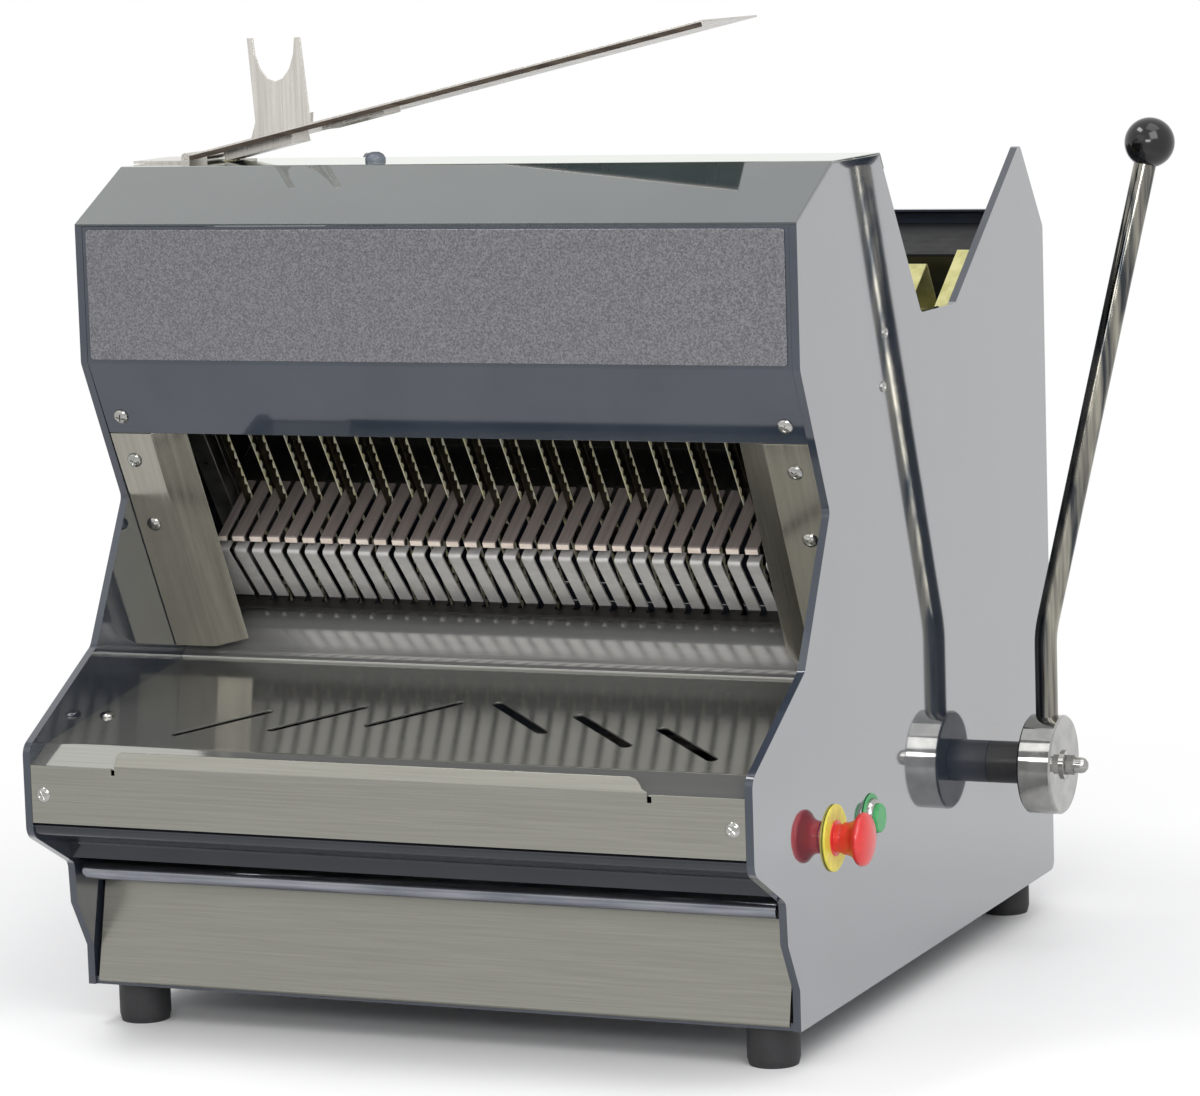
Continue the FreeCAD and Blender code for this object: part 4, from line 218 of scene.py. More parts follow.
# Nodes whose finish differs from their material's (the pusher plate and the floor supports with painted shade, the
# lever bar with painted reflections), and panels with a wider bevel than the rest.
LOOKS = {"crank_bar": "bar_steel_painted_streaks", "rear_deck": "matte_dark", "pusher_plate": "painted_shade_steel",
         "floor_supports": "support_zinc_shaded", "stop_dome": "grey_plastic", "bagging_plate": "plate_steel",
         "bagging_fork": "plate_steel", "bagging_stay": "plate_steel", "bagging_bracket": "plate_steel"}
BEVELS = {"side_panel_left": 0.0012, "side_panel_right": 0.0012, "front_fascia": 0.001, "top_cover": 0.001}
for name, thing in nodes.items():
    thing.data.materials.clear()
    thing.data.materials.append(FINISHES[LOOKS.get(name) or slot_of[name]])
    weld = thing.modifiers.new("weld", "WELD")
    weld.merge_threshold = 0.00001
    bevel = thing.modifiers.new("bevel", "BEVEL")
    bevel.width = BEVELS.get(name, 0.0003)
    bevel.segments = 2
    bevel.limit_method = "ANGLE"
    bevel.angle_limit = math.radians(32)
    bevel.use_clamp_overlap = True
    thing.modifiers.new("normals", "WEIGHTED_NORMAL")

# ---------------------------------------------------------------- building pieces
MM = 0.001
# The machine's mid-plane, and the left and right ends of the casing's sheets, the feed floor and the drawer.
MIDDLE = -66.93657
CASE = (-355.9, 222.1)
FLOOR = (-322.9, 189.1)
DRAWER = (-352.8, 219.0)
# Outer face of the right side panel, which carries the controls.
PANEL_FACE = 228.1
# Where the feed floor meets the blades, and where the hood's lip ends, each with its slope.
FEED_BACK, FEED_HEIGHT, FEED_TILT = -74.0, 394.0, math.radians(34.5)
LIP_BACK, LIP_HEIGHT, LIP_TILT = -200.0, 455.0, math.radians(26.97)
# Slots of the comb and the floor: pitch, place of the first, count.
PITCH, FIRST_SLOT, SLOTS = 15.5, MIDDLE - 15 * 15.5, 31


def plane_of(origin, first, second, third):
    """A matrix that turns lengths in millimetres along three directions into places in metres."""
    rows = Matrix((first, second, third)).transposed()
    return Matrix.Translation(Vector(origin) * MM) @ (rows * MM).to_4x4()


# Drawing planes: side view, front view, top view, along the feed floor, on the feed floor,
# on the hood's lip and along the bagging plate.
SIDE = plane_of((0, 0, 0), (0, 1, 0), (0, 0, 1), (1, 0, 0))
FRONT = plane_of((0, 0, 0), (1, 0, 0), (0, 0, 1), (0, 1, 0))
PLAN = plane_of((0, 0, 0), (1, 0, 0), (0, 1, 0), (0, 0, 1))
FEED = plane_of((0, FEED_BACK, FEED_HEIGHT), (0, math.cos(FEED_TILT), math.sin(FEED_TILT)),
                (0, -math.sin(FEED_TILT), math.cos(FEED_TILT)), (1, 0, 0))
FEED_PLAN = plane_of((0, FEED_BACK, FEED_HEIGHT), (1, 0, 0), (0, math.cos(FEED_TILT), math.sin(FEED_TILT)),
                     (0, -math.sin(FEED_TILT), math.cos(FEED_TILT)))
GUARD = plane_of((0, LIP_BACK, LIP_HEIGHT), (1, 0, 0), (0, math.cos(LIP_TILT), math.sin(LIP_TILT)),
                 (0, math.sin(LIP_TILT), -math.cos(LIP_TILT)))
HINGE = (MIDDLE - 259.0, -113.0, 662.5)
PLATE_TILT = math.radians(12.5)
PLATE = plane_of(HINGE, (math.cos(PLATE_TILT), 0, math.sin(PLATE_TILT)),
                 (-math.sin(PLATE_TILT), 0, math.cos(PLATE_TILT)), (0, 1, 0))


def rounded_line(points, radii, step=11):
    """A bend line with its inner corners rounded."""
    line = [Vector(points[0])]
    for before, corner, after, radius in zip(points, points[1:], points[2:], radii):
        corner = Vector(corner)
        one = (Vector(before) - corner).normalized()
        two = (Vector(after) - corner).normalized()
        angle = one.angle(two)
        reach = radius / math.tan(angle / 2)
        centre = corner + (one + two).normalized() * radius / math.sin(angle / 2)
        start, end = corner + one * reach - centre, corner + two * reach - centre
        turn = math.pi - angle
        if start.cross(end) < 0:
            turn = -turn
        count = max(2, round(abs(math.degrees(turn)) / step))
        for index in range(count + 1):
            line.append(centre + Matrix.Rotation(turn * index / count, 2) @ start)
    line.append(Vector(points[-1]))
    return line


def beside(line, distance):
    """The line moved sideways, to its left where distance is positive."""
    moved = []
    for index, point in enumerate(line):
        sides = []
        for one, two in ((index - 1, index), (index, index + 1)):
            if one >= 0 and two < len(line):
                along = (line[two] - line[one]).normalized()
                sides.append(Vector((-along.y, along.x)))
        side = sum(sides, Vector((0, 0))).normalized()
        moved.append(point + side * distance / max(side.dot(sides[0]), 0.3))
    return moved


def new_mesh(name, build):
    """A mesh from a function that adds its forms, with all faces turned outwards."""
    mesh = bpy.data.meshes.new(name)
    made = bmesh.new()
    build(made)
    bmesh.ops.recalc_face_normals(made, faces=made.faces)
    made.to_mesh(mesh)
    made.free()
    return mesh


def piece(name, mesh, look, body="housing", bevel=0.3, angle=38, replaces=(), slot=None):
    """An object of the scene: its finish, bevel, body and the nodes it stands for; its material slot is not used.
    """
    thing = bpy.data.objects.new(name, mesh)
    scene.collection.objects.link(thing)
    mesh.materials.clear()
    mesh.materials.append(FINISHES[look])
    if bevel:
        edges = thing.modifiers.new("bevel", "BEVEL")
        edges.width = bevel * MM
        edges.segments = 2
        edges.limit_method = "ANGLE"
        edges.angle_limit = math.radians(angle)
        edges.use_clamp_overlap = True
    for face in mesh.polygons:
        face.use_smooth = True
    thing.modifiers.new("normals", "WEIGHTED_NORMAL").keep_sharp = True
    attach(thing, body)
    if replaces:
        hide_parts(*replaces)


def add_sheet(made, line, thickness, low, high, plane):
    """A bent sheet: a line, the same line beside it by the thickness, and a span between two ends."""
    other = beside(line, thickness)
    rings = []
    for end in (low, high):
        rings.append([[made.verts.new(plane @ Vector((p.x, p.y, end))) for p in side] for side in (line, other)])
    count = len(line)
    for index in range(count - 1):
        for side in (0, 1):
            a, b = rings[0][side], rings[1][side]
            made.faces.new((a[index], a[index + 1], b[index + 1], b[index]))
        for ring in rings:
            made.faces.new((ring[0][index], ring[0][index + 1], ring[1][index + 1], ring[1][index]))
    for index in (0, count - 1):
        made.faces.new((rings[0][0][index], rings[1][0][index], rings[1][1][index], rings[0][1][index]))


def sheet_mesh(name, points, radii, thickness, low, high, plane=SIDE):
    """The mesh of one bent sheet from its corners and the radii of its bends."""
    return new_mesh(name, lambda made: add_sheet(made, rounded_line(points, radii), thickness, low, high, plane))


def add_slab(made, outline, low, high, plane):
    """A flat piece: an outline and a thickness."""
    ends = [[made.verts.new(plane @ Vector((x, y, end))) for x, y in outline] for end in (low, high)]
    made.faces.new(ends[0])
    made.faces.new(list(reversed(ends[1])))
    for index in range(len(outline)):
        after = (index + 1) % len(outline)
        made.faces.new((ends[0][index], ends[0][after], ends[1][after], ends[1][index]))


def add_lathe(made, profile, centre, along, segments=48, hollow=False):
    """A turned piece: radius and height pairs spun round an axis, joined end to start where it is hollow."""
    axis = Vector(along).normalized()
    turn = axis.to_track_quat("Z", "Y").to_matrix()
    rings = []
    for radius, height in profile:
        ring = []
        for index in range(segments if radius > 1e-6 else 1):
            angle = 2 * math.pi * index / segments
            local = Vector((radius * math.cos(angle), radius * math.sin(angle), height))
            ring.append(made.verts.new((Vector(centre) + turn @ local) * MM))
        rings.append(ring)
    if hollow:
        rings.append(rings[0])
    for one, two in zip(rings, rings[1:]):
        for index in range(segments):
            after = (index + 1) % segments
            corners = []
            for ring, spot in ((one, index), (one, after), (two, after), (two, index)):
                vert = ring[spot % len(ring)]
                if vert not in corners:
                    corners.append(vert)
            if len(corners) > 2:
                made.faces.new(corners)
    for ring in () if hollow else (rings[0], rings[-1]):
        if len(ring) > 1:
            made.faces.new(ring)


def cut(mesh, cutters, overlapping=False):
    """The mesh with each cutter, a function that adds closed forms, taken out of it."""
    tool_mesh = new_mesh("tool", lambda made: [cutter(made) for cutter in cutters])
    block = bpy.data.objects.new("block", mesh)
    tool = bpy.data.objects.new("tool", tool_mesh)
    for thing in (block, tool):
        scene.collection.objects.link(thing)
    taken = block.modifiers.new("cut", "BOOLEAN")
    taken.object = tool
    taken.solver = "EXACT"
    taken.use_self = overlapping
    bpy.context.view_layer.update()
    result = bpy.data.meshes.new_from_object(block.evaluated_get(bpy.context.evaluated_depsgraph_get()))
    for thing in (block, tool):
        bpy.data.objects.remove(thing)
    result.name = mesh.name
    return result


def slot_outline(centre, length, width, angle):
    """A long hole with round ends."""
    turn = Matrix.Rotation(math.radians(angle), 2)
    corners = []
    for side, start in ((1, -90), (-1, 90)):
        for step in range(7):
            spot = math.radians(start + 30 * step)
            corner = Vector((side * (length - width) / 2 + width / 2 * math.cos(spot), width / 2 * math.sin(spot)))
            corners.append(Vector(centre) + turn @ corner)
    return corners


def rounded_outline(low_x, low_y, high_x, high_y, radius):
    """A rectangle with round corners."""
    points = []
    for x, y, start in ((high_x, high_y, 0), (low_x, high_y, 90), (low_x, low_y, 180), (high_x, low_y, 270)):
        across = x - radius if x == high_x else x + radius
        rise = y - radius if y == high_y else y + radius
        for step in range(6):
            turn = math.radians(start + 18 * step)
            points.append((across + radius * math.cos(turn), rise + radius * math.sin(turn)))
    return points


def at_each_slot(outline_at, low, high, plane):
    """A cutter for every slot; outline_at gives the slot's outline from its place across."""
    return [lambda made, x=FIRST_SLOT + PITCH * index: add_slab(made, outline_at(x), low, high, plane)
            for index in range(SLOTS)]


def box_outline(low_x, low_y, high_x, high_y):
    """A rectangle."""
    return [(low_x, low_y), (high_x, low_y), (high_x, high_y), (low_x, high_y)]


# ---------------------------------------------------------------- hood
piece("hood_front", sheet_mesh("hood_front", [(-229, 616.8), (-229, 512), (-200, 455)], [3], 2, *CASE),
      "anthracite", replaces=["front_fascia"], bevel=0.6)
piece("hood_top", sheet_mesh("hood_top", [(-229.8, 618.6), (-152.5, 658), (-48.5, 658), (-40.2, 645.8)], [5, 4],
                             -2, -361.9, PANEL_FACE),
      "hood_paint_green_reflection", slot="anthracite", replaces=["top_cover"], bevel=0.5)
piece("fascia_film", new_mesh("fascia_film", lambda made: add_slab(
    made, rounded_outline(-352.5, 515, 218.7, 614.2, 2.5), -230, -229, FRONT)),
      "dark_plate", replaces=["fascia_plate"], bevel=0.35)

# ---------------------------------------------------------------- bread guards
for name, side in (("guard_left", -1), ("guard_right", 1)):
    line = [(MIDDLE + side * 288.6, 0), (MIDDLE + side * 253.5, 0), (MIDDLE + side * 229, 12.5)]
    mesh = sheet_mesh(name, line, [1.6], 2 if side < 0 else -2, 0.5, 203, GUARD)
    piece(name, mesh, "polished", slot="stainless", bevel=0.45, angle=40,
          replaces=["bread_guards"] if side < 0 else ())

# ---------------------------------------------------------------- outlet comb, catch sheet and feed floor
# Thickness of these sheets, the comb's ends, half the width of its slots, and their reach from front to back.
SHEET = 1.9
COMB = (-352.9, 219.1)
COMB_GAP, COMB_DEPTH = 2.6, (-140, -60)
comb = sheet_mesh("comb", [(-105.6, 359.4), (-115, 353), (-72.9, 310.9)], [3.2], SHEET, *COMB)
comb = cut(comb, at_each_slot(lambda x: box_outline(x - COMB_GAP, 300, x + COMB_GAP, 370), *COMB_DEPTH, FRONT))
piece("comb_fingers", comb, "comb_steel", slot="stainless", replaces=["outlet_comb"], bevel=0.25)
# The comb's foot, in the steel painted dark as painted shade.
foot = sheet_mesh("comb_foot", [(-73.4, 311.4), (-72.4, 310.2), (-84, 304)], [0.6], SHEET, *COMB)
foot = cut(foot, at_each_slot(lambda x: box_outline(x - COMB_GAP, 307.4, x + COMB_GAP, 320), *COMB_DEPTH, FRONT))
piece("comb_foot", foot, "painted_shade_steel", slot="stainless", bevel=0.2)
piece("catch_curve", sheet_mesh("catch_curve", [(-98, 262.8), (-92.2, 265.6), (-61.5, 301)], [14], SHEET,
                                CASE[0] + 0.1, CASE[1] - 0.1),
      "catch_steel", slot="stainless", replaces=["catch_sheet"], bevel=0.2)

# The floor is in three sheets: fingers between the blades, a middle in steel painted dark as painted shade, and a
# bright rear end.
# FINGERS_WIDE is half the width of the row of fingers.
FINGERS_WIDE = 242
floor_slots = at_each_slot(lambda x: slot_outline((x, -20), 110, 4.8, 90), -12, 12, FEED_PLAN)
beside_fingers = [
    lambda made, low=low, high=high: add_slab(made, box_outline(low, -60, high, 40), -12, 12, FEED_PLAN)
    for low, high in ((-330, MIDDLE - FINGERS_WIDE), (MIDDLE + FINGERS_WIDE, 200))]
fingers = sheet_mesh("feed", [(-52.6, -4.2), (-51.6, 0), (14, 0)], [2.6], -SHEET, *FLOOR, FEED)
piece("feed_fingers", cut(fingers, floor_slots + beside_fingers), "floor_steel_brown_reflection", slot="stainless",
      replaces=["feed_floor"], bevel=0.25)
flat = sheet_mesh("feed_middle", [(14.2, 0), (140, 0), (214, 0)], [1], -SHEET, *FLOOR, FEED)
piece("feed_middle", cut(flat, floor_slots), "painted_shade_steel", slot="stainless", bevel=0.25)
piece("feed_rear", sheet_mesh("feed_rear", [(214.2, 0), (290, 0), (290, -64.5)], [3], -SHEET, *FLOOR, FEED),
      "yellow_zinc", slot="stainless", bevel=0.25)


def build_tips(made):
    """A light strip along the front edge of each finger: a painted highlight."""
    for index in range(-1, SLOTS):
        x = FIRST_SLOT + PITCH * index
        low, high = max(x + 2.7, MIDDLE - 241.8), min(x + PITCH - 2.7, MIDDLE + 241.8)
        add_slab(made, [(-53.1, -4.4), (-52.6, -4.4), (-51.7, -0.5), (-52.2, -0.3)], low, high, FEED)


piece("feed_tips", new_mesh("feed_tips", build_tips), "painted_highlight_edge", slot="stainless", bevel=0)

# ---------------------------------------------------------------- tray, its front face and raised lip
tray = sheet_mesh("tray", [(-97.8, 262.9), (-318, 232), (-343.6, 219)], [7], 1.3, *CASE)
tray_slots = []
for index in range(3):
    for across, back, length, width, angle in (
            (-172.0 + 71.5 * index, -255.0 + 20 * index, 85, 8, 52),
            (58.0 + 76 * index, -214.0 - 21.5 * index, 98, 9, -44)):
        outline = slot_outline((MIDDLE + across, back), length, width, angle)
        tray_slots.append(lambda made, outline=outline: add_slab(made, outline, 200, 290, PLAN))
piece("tray_top", cut(tray, tray_slots), "mirror_steel", slot="stainless", replaces=["outlet_tray"], bevel=0.1)

# The tray's front face with the strip that rises from it, from the lower left round to the upper left:
# the ends of the face, then of the strip.
FACE = (-355.8, 222.0)
LIP_LEFT, LIP_RIGHT = MIDDLE - 217, MIDDLE + 210.5
face_outline = [
    (FACE[0], 175.3), (FACE[1], 175.3), (FACE[1], 219.6), (LIP_RIGHT + 7.0, 219.6), (LIP_RIGHT + 7.0, 213.6),
    (LIP_RIGHT + 3.6, 213.6), (LIP_RIGHT + 3.6, 221.5), (LIP_RIGHT - 1.0, 223.5), (LIP_RIGHT - 3.6, 227.5),
    (LIP_RIGHT - 6.6, 230.2), (LIP_RIGHT - 11, 231.2), (LIP_LEFT + 4, 231.2), (LIP_LEFT + 1.2, 230.2),
    (LIP_LEFT, 227.8), (LIP_LEFT, 214.4), (LIP_LEFT - 2.8, 214.4), (LIP_LEFT - 2.8, 219.6), (FACE[0], 219.6)]


def build_face(made):
    """The face is a flat sheet whose strip leans back above the fold."""
    fold = 220
    add_slab(made, face_outline, -345, -343.6, FRONT)
    for height in (fold, fold + 1.5, fold + 3.0):
        bmesh.ops.bisect_plane(made, geom=made.verts[:] + made.edges[:] + made.faces[:],
                               plane_co=(0, 0, height * MM), plane_no=(0, 0, 1))
    for vert in made.verts:
        rise = vert.co.z / MM - fold
        if rise > 0:
            vert.co.y += (rise * 0.42 if rise > 3 else rise * rise * 0.14) * MM


piece("tray_face", new_mesh("tray_face", build_face), "stainless", replaces=["tray_lip"], bevel=0.3, angle=30)

# ---------------------------------------------------------------- rail and drawer front
# The rail under the tray, in a paint darker than the anthracite: painted shade.
piece("rail_sheet", sheet_mesh(
    "rail_sheet", [(-334, 174.9), (-343.4, 174.9), (-342.2, 166.4), (-290, 150.5), (-290, 138)], [3.8, 4.2, 3],
    1.8, *CASE), "rail_shaded_paint", slot="anthracite", replaces=["front_rail"], bevel=0.3)

# Thickness of the closing plates at the ends of the drawer's face and of its pull.
CHEEK = 1.4


def build_drawer(made):
    """The drawer's slanted face with a thin cheek at each end."""
    add_sheet(made, rounded_line([(-250, 34.2), (-261.6, 34.2), (-242, 118.6)], [2.4]), -1.6, *DRAWER, SIDE)
    for edge in (DRAWER[0], DRAWER[1] - CHEEK):
        add_slab(made, [(-259.6, 36.4), (-240.8, 117.6), (-236, 117.6), (-236, 41), (-250, 36.4)],
                 edge, edge + CHEEK, SIDE)


def build_pull(made):
    """The rolled edge above the face, closed at both ends, with a domed cap on its left end."""
    low, high = DRAWER[0] + 5, DRAWER[1]
    back, height, radius = -277.2, 125.4, 6.5
    line = [Vector((-243, 131.8))]
    for step in range(15):
        angle = math.radians(90 + 180 * step / 14)
        line.append(Vector((back + radius * math.cos(angle), height + radius * math.sin(angle))))
    line += [Vector((-250, 118.9)), Vector((-243, 118.9))]
    add_sheet(made, line, 1.6, low, high, SIDE)
    for edge in (low, high - CHEEK):
        add_slab(made, [(-277.5 + 6 * math.cos(math.radians(turn)), height + 6 * math.sin(math.radians(turn)))
                        for turn in range(90, 271, 15)] + [(-243.5, 119.4), (-243.5, 131.4)],
                 edge, edge + CHEEK, SIDE)
    add_lathe(made, [(6.5, 0), (6.1, 2.4), (4.9, 4.0), (2.6, 4.9), (0, 5)], (low, back, height), (-1, 0, 0), 32)


piece("drawer_sheet", new_mesh("drawer_sheet", build_drawer), "stainless", body="drawer",
      replaces=["drawer_front"], bevel=0.25)
# The pull's steel carries a painted reflection of the navy rail.
piece("drawer_pull", new_mesh("drawer_pull", build_pull), "pull_steel_navy_reflection", body="drawer", slot="stainless", bevel=0.2)


# ---------------------------------------------------------------- blades
def build_blades(first, count, back):
    """Thin bands with a row of scallops ground along the edge that meets the loaf."""
    def build(made):
        for index in range(count):
            x = FIRST_SLOT + PITCH * (first + 2 * index)
            outline = [(back, -190.5), (back + 9.4, -190.5)]
            for step in range(100):
                height = -190 + 4 * step
                outline += [(back + 9.4, height + 0.2), (back + 10.7, height + 2)]
            outline += [(back + 9.4, 208.5), (back, 208.5)]
            add_slab(made, outline, x - 0.3, x + 0.3, FEED)
    return build


def build_glint_strips(first, count, back, side):
    """A strip on the ground edge of each band, painted near-white as painted glints, in short scallops."""
    def build(made):
        for index in range(count):
            x = FIRST_SLOT + PITCH * (first + 2 * index)
            outline = [(back, 207), (back, -189)]
            for step in range(44):
                height = -188 + 9 * step + 4.5 * (first % 2)
                outline += [(back + side * 0.7, height), (back + side * 3.9, height + 3.4),
                            (back + side * 3.2, height + 6.4)]
            add_slab(made, outline, x - 0.42, x + 0.42, FEED)
    return build


# Each set: its frame, the first slot it fills and every second one after it, how many, then the place of the
# bands and of the strip with painted glints on their edge along the floor, and the side to which that edge is
# ground.
BLADE_SETS = (("a", 0, 16, -12.3, -1.65, -1), ("b", 1, 15, 1.7, 1.65, 1))
for which, first, count, back, _, _ in BLADE_SETS:
    piece("blade_set_" + which, new_mesh("blade_set_" + which, build_blades(first, count, back)), "blade_steel_shaded",
          body="frame_" + which, slot="steel", replaces=["blades_" + which], bevel=0)
for which, first, count, _, edge, side in BLADE_SETS:
    piece("blade_glints_" + which, new_mesh("blade_glints_" + which, build_glint_strips(first, count, edge, side)),
          "painted_glint_edge", body="frame_" + which, slot="steel", bevel=0)


# ---------------------------------------------------------------- screws
def build_dome(made, centre, along, radius=6.0, height=3.3, rim=0.5, sunk=0.2, steps=9):
    """A domed screw head on a low rim."""
    profile = [(0, -sunk), (radius, -sunk), (radius, rim)]
    for step in range(1, steps):
        angle = math.radians(90 * step / steps)
        profile.append((radius * math.cos(angle), rim + (height - rim) * math.sin(angle)))
    add_lathe(made, profile + [(0, height)], centre, along, 28)


def build_cross(made, centre, along, turn, reach=3.4, width=1.1, depth=2.2, top=4.0):
    """Two crossed bars that cut the driver's recess into a screw head."""
    axis = Vector(along).normalized()
    across = axis.orthogonal().normalized()
    across.rotate(Matrix.Rotation(turn, 3, axis))
    other = axis.cross(across)
    for one, two in ((across, other), (other, across)):
        corners = [Vector(centre) * MM + (one * a * reach + two * b * width / 2 + axis * c) * MM
                   for c in (top - depth, top + 1) for a, b in ((-1, -1), (1, -1), (1, 1), (-1, 1))]
        verts = [made.verts.new(corner) for corner in corners]
        for face in ((0, 1, 2, 3), (7, 6, 5, 4), (0, 4, 5, 1), (1, 5, 6, 2), (2, 6, 7, 3), (3, 7, 4, 0)):
            made.faces.new([verts[spot] for spot in face])


# Domed screws as place, direction and turn of the cross: down the guards, on the tray and on its face.
screws = []
for across in (-340.9, 207.1):
    for down in (-15.5, 25.0, 85.0):
        spot = GUARD @ Vector((across, 0, down)) / MM
        screws.append((tuple(spot), (0, -math.cos(LIP_TILT), -math.sin(LIP_TILT)), 0.3 + across + down))
    screws.append(((across, -250.1, 241.7), (0, -0.139, 0.990), across))
for across in (-345.9, 212.1):
    screws.append(((across, -343.6, 197), (0, -1, 0), across))


def build_screws(made):
    """Every domed screw, still without its recess."""
    for centre, along, turn in screws:
        build_dome(made, centre, along)


crosses = [lambda made, screw=screw: build_cross(made, *screw) for screw in screws]
screw_mesh = cut(new_mesh("dome_screws", build_screws), crosses, overlapping=True)
piece("dome_screws", screw_mesh, "chrome", bevel=0.12, replaces=["casing_screws"])

# Out of the right side panel.
OUT = (1, 0, 0)


def build_side_screws(made):
    """The two small screws in the right side panel."""
    for back, height in ((-54.5, 482), (-48, 522)):
        add_lathe(made, [(0, -1), (4, -1), (4, 0.8), (3.2, 1.7), (1.7, 1.9), (1.2, 0.6), (0, 0.6)],
                  (PANEL_FACE, back, height), OUT, 24)


piece("side_screws", new_mesh("side_screws", build_side_screws), "chrome", bevel=0.1)

# ---------------------------------------------------------------- emergency stop and start button
STOP, START = (PANEL_FACE, -184, 161), (PANEL_FACE, -104, 161)


def ring(name, profile, centre, segments, look, **values):
    """A closed ring or cap turned round a control's axis."""
    piece(name, new_mesh(name, lambda made: add_lathe(made, profile, centre, OUT, segments, hollow=True)),
          look, **values)


ring("stop_ring", [(13.4, 0), (24.6, 0), (25, 0.5), (25, 1.6), (24.5, 2), (13.4, 2)], STOP, 64, "yellow_plastic",
     bevel=0, replaces=["estop_base"])
ring("stop_collar", [(8.6, 0), (13.4, 0), (13.4, 2.4), (12.6, 3.1), (10.8, 3.3), (10.8, 9.4), (8.6, 9.4)],
     STOP, 48, "red_plastic", bevel=0.15)
ring("stop_mushroom", [(11.3, 9), (12.1, 9), (12.3, 12.5), (13.6, 15.8), (16.6, 18.8), (19.2, 20.8), (20, 22.4),
                       (19.9, 24.2), (18.8, 26.2), (15.6, 27.9), (10, 29.2), (4, 29.7), (0, 29.8), (0, 14),
                       (11.3, 14)],
     STOP, 64, "red_plastic", body="estop_cap_body", bevel=0, replaces=["estop_cap"])
ring("start_plate", [(13, 0), (18.2, 0), (18.5, 0.4), (18.5, 0.9), (18.1, 1.3), (13, 1.3)], START, 56,
     "green_plastic", bevel=0, replaces=["start_base"])
ring("start_bezel", [(11.3, 0), (14.6, 0), (14.6, 2.6), (13.9, 4.4), (12.6, 5.9), (11.3, 5.9)], START, 56,
     "chrome", bevel=0.1)

# ---------------------------------------------------------------- louvre hoods, and painted shade along the bagging plate's edge
# The rear cover's louvres: height of the lowest, pitch, count, and the ends of their hoods.
LOUVRE_LOW, LOUVRE_PITCH, LOUVRES = 180.0, 16.0, 6
HOOD = (MIDDLE - 152, MIDDLE + 152)


def build_louvres(made):
    """A small hood over each louvre of the rear cover, closed at both ends."""
    cheek = 0.8
    for index in range(LOUVRES):
        z = LOUVRE_LOW + LOUVRE_PITCH * index
        line = rounded_line([(345.1, z + 6.6), (350.6, z + 2.4), (350.6, z - 1.4)], [2])
        add_sheet(made, line, -0.9, *HOOD, SIDE)
        for low in (HOOD[0], HOOD[1] - cheek):
            add_slab(made, [(345.1, z + 6.4), (350.4, z + 2.2), (350.4, z - 1.2), (345.1, z - 1.2)],
                     low, low + cheek, SIDE)


piece("louvre_hoods", new_mesh("louvre_hoods", build_louvres), "anthracite", bevel=0.2)
# A dark strip painted along the bagging plate's edge: painted shade.
piece("plate_shade_strip", new_mesh("plate_shade_strip", lambda made: add_slab(
    made, box_outline(4, -3.4, 449, 0), -0.35, 0.0, PLATE)), "painted_shade_edge", body="bagging_plate_body",
      slot="stainless", bevel=0)

# ---------------------------------------------------------------- camera, floor and light
# The photograph's camera: its axes, its place in metres, and its lens with a small shift.
RIGHT = Vector((0.92007078, 0.39053265, -0.03088711))
UP = Vector((-0.02450116, 0.13605355, 0.99039847))
FORWARD = Vector((-0.39098524, 0.91047992, -0.1347474))
camera = bpy.data.objects.new("camera", bpy.data.cameras.new("camera"))
scene.collection.objects.link(camera)
camera.matrix_world = Matrix.Translation((1.42486, -3.3854, 0.8434)) @ Matrix(
    (RIGHT, UP, -FORWARD)).transposed().to_4x4()
camera.data.lens = 141.27
camera.data.sensor_width = 36
camera.data.shift_x = -0.0025
camera.data.shift_y = 0.0033
camera.data.clip_end = 60
scene.camera = camera
scene.view_settings.view_transform = "Standard"


def backdrop(tree, reach=None):
    """Socket that is one for the rays that see the white surroundings: camera, mirror and glass rays.

    With reach it rises from nothing to one between two distances from the middle of the floor."""
    path = tree.nodes.new("ShaderNodeLightPath")
    value = path.outputs["Is Camera Ray"]
    for ray in ("Is Glossy Ray", "Is Transmission Ray"):
        most = tree.nodes.new("ShaderNodeMath")
        most.operation = "MAXIMUM"
        tree.links.new(value, most.inputs[0])
        tree.links.new(path.outputs[ray], most.inputs[1])
        value = most.outputs[0]
    if reach:
        place = tree.nodes.new("ShaderNodeTexCoord")
        length = tree.nodes.new("ShaderNodeVectorMath")
        length.operation = "LENGTH"
        tree.links.new(place.outputs["Object"], length.inputs[0])
        fade = tree.nodes.new("ShaderNodeMapRange")
        fade.interpolation_type = "SMOOTHSTEP"
        fade.inputs["From Min"].default_value, fade.inputs["From Max"].default_value = reach
        tree.links.new(length.outputs["Value"], fade.inputs["Value"])
        both = tree.nodes.new("ShaderNodeMath")
        both.operation = "MULTIPLY"
        tree.links.new(value, both.inputs[0])
        tree.links.new(fade.outputs["Result"], both.inputs[1])
        value = both.outputs[0]
    return value


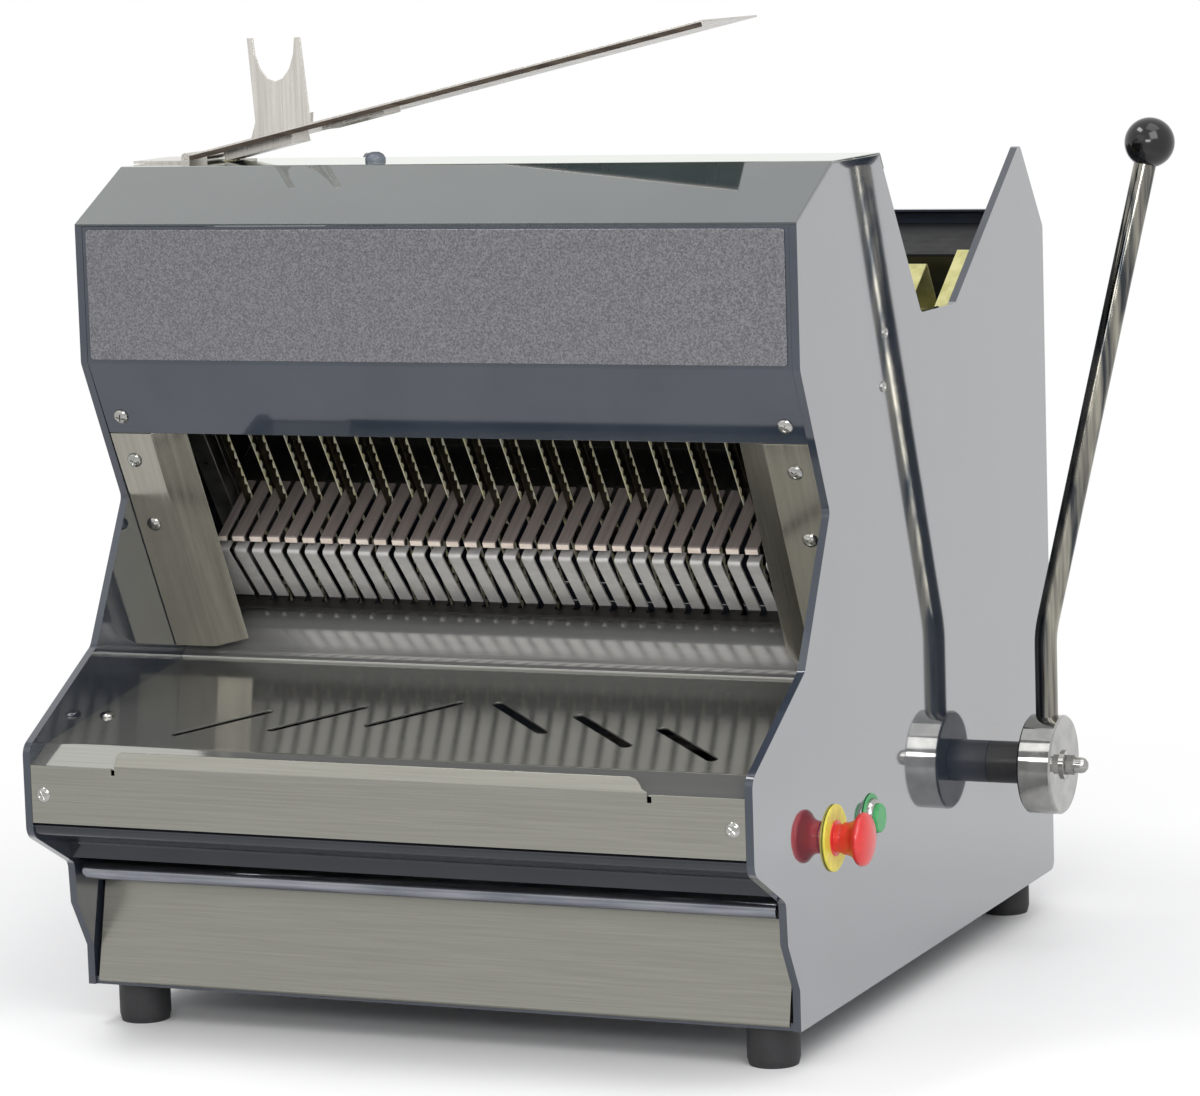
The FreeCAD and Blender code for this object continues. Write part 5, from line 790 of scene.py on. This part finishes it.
world = bpy.data.worlds.new("world")
scene.world = world
world.use_nodes = True
tree = world.node_tree
tree.nodes.clear()
soft = tree.nodes.new("ShaderNodeBackground")
soft.inputs["Color"].default_value = (0.62, 0.62, 0.63, 1)
white = tree.nodes.new("ShaderNodeBackground")
white.inputs["Color"].default_value = (1, 1, 1, 1)
blend = tree.nodes.new("ShaderNodeMixShader")
tree.links.new(backdrop(tree), blend.inputs["Fac"])
tree.links.new(soft.outputs[0], blend.inputs[1])
tree.links.new(white.outputs[0], blend.inputs[2])
output = tree.nodes.new("ShaderNodeOutputWorld")
tree.links.new(blend.outputs[0], output.inputs["Surface"])


# The lamps are aimed at the middle of the machine.
AIM = Vector((-0.07, 0, 0.33))


def lamp(name, place, size, power):
    """A soft rectangle of light, its size in metres and its power in watts."""
    made = bpy.data.objects.new(name, bpy.data.lights.new(name, "AREA"))
    scene.collection.objects.link(made)
    made.data.shape = "RECTANGLE"
    made.data.size, made.data.size_y = size
    made.data.energy = power
    made.location = place
    made.rotation_mode = "QUATERNION"
    made.rotation_quaternion = (AIM - Vector(place)).to_track_quat("-Z", "Y")


lamp("key", (2.2, -2.2, 2.8), (2.2, 2.2), 60)
lamp("fill", (-1.35, -2.6, 2.0), (2.4, 1.6), 6)
lamp("top", (1.0, -0.2, 3.4), (2.0, 2.0), 20)
lamp("strip", (-1.1, -0.6, 2.9), (1.3, 0.6), 22)
lamp("front", (0.9, -3.2, 1.3), (1.4, 0.5), 26)

# Half the floor's width, and the distances between which it turns into the white surroundings, in metres.
FLOOR_HALF = 14
FADE = (0.5, 1.3)
floor_mesh = bpy.data.meshes.new("floor")
floor_mesh.from_pydata([(x, y, 0) for x, y in box_outline(-FLOOR_HALF, -FLOOR_HALF, FLOOR_HALF, FLOOR_HALF)],
                       [], [(0, 1, 2, 3)])
floor = bpy.data.objects.new("floor", floor_mesh)
scene.collection.objects.link(floor)
pale = finish("pale_floor", (0.93, 0.93, 0.93, 1), (0.95, 0.95, 0.95, 1), (0.6, 0.7), grain=3, bump=0)
tree = pale.node_tree
glow = tree.nodes.new("ShaderNodeEmission")
fade = tree.nodes.new("ShaderNodeMixShader")
tree.links.new(backdrop(tree, FADE), fade.inputs["Fac"])
tree.links.new(tree.nodes["Principled BSDF"].outputs[0], fade.inputs[1])
tree.links.new(glow.outputs[0], fade.inputs[2])
tree.links.new(fade.outputs[0], tree.nodes["Material Output"].inputs["Surface"])
floor_mesh.materials.append(pale)
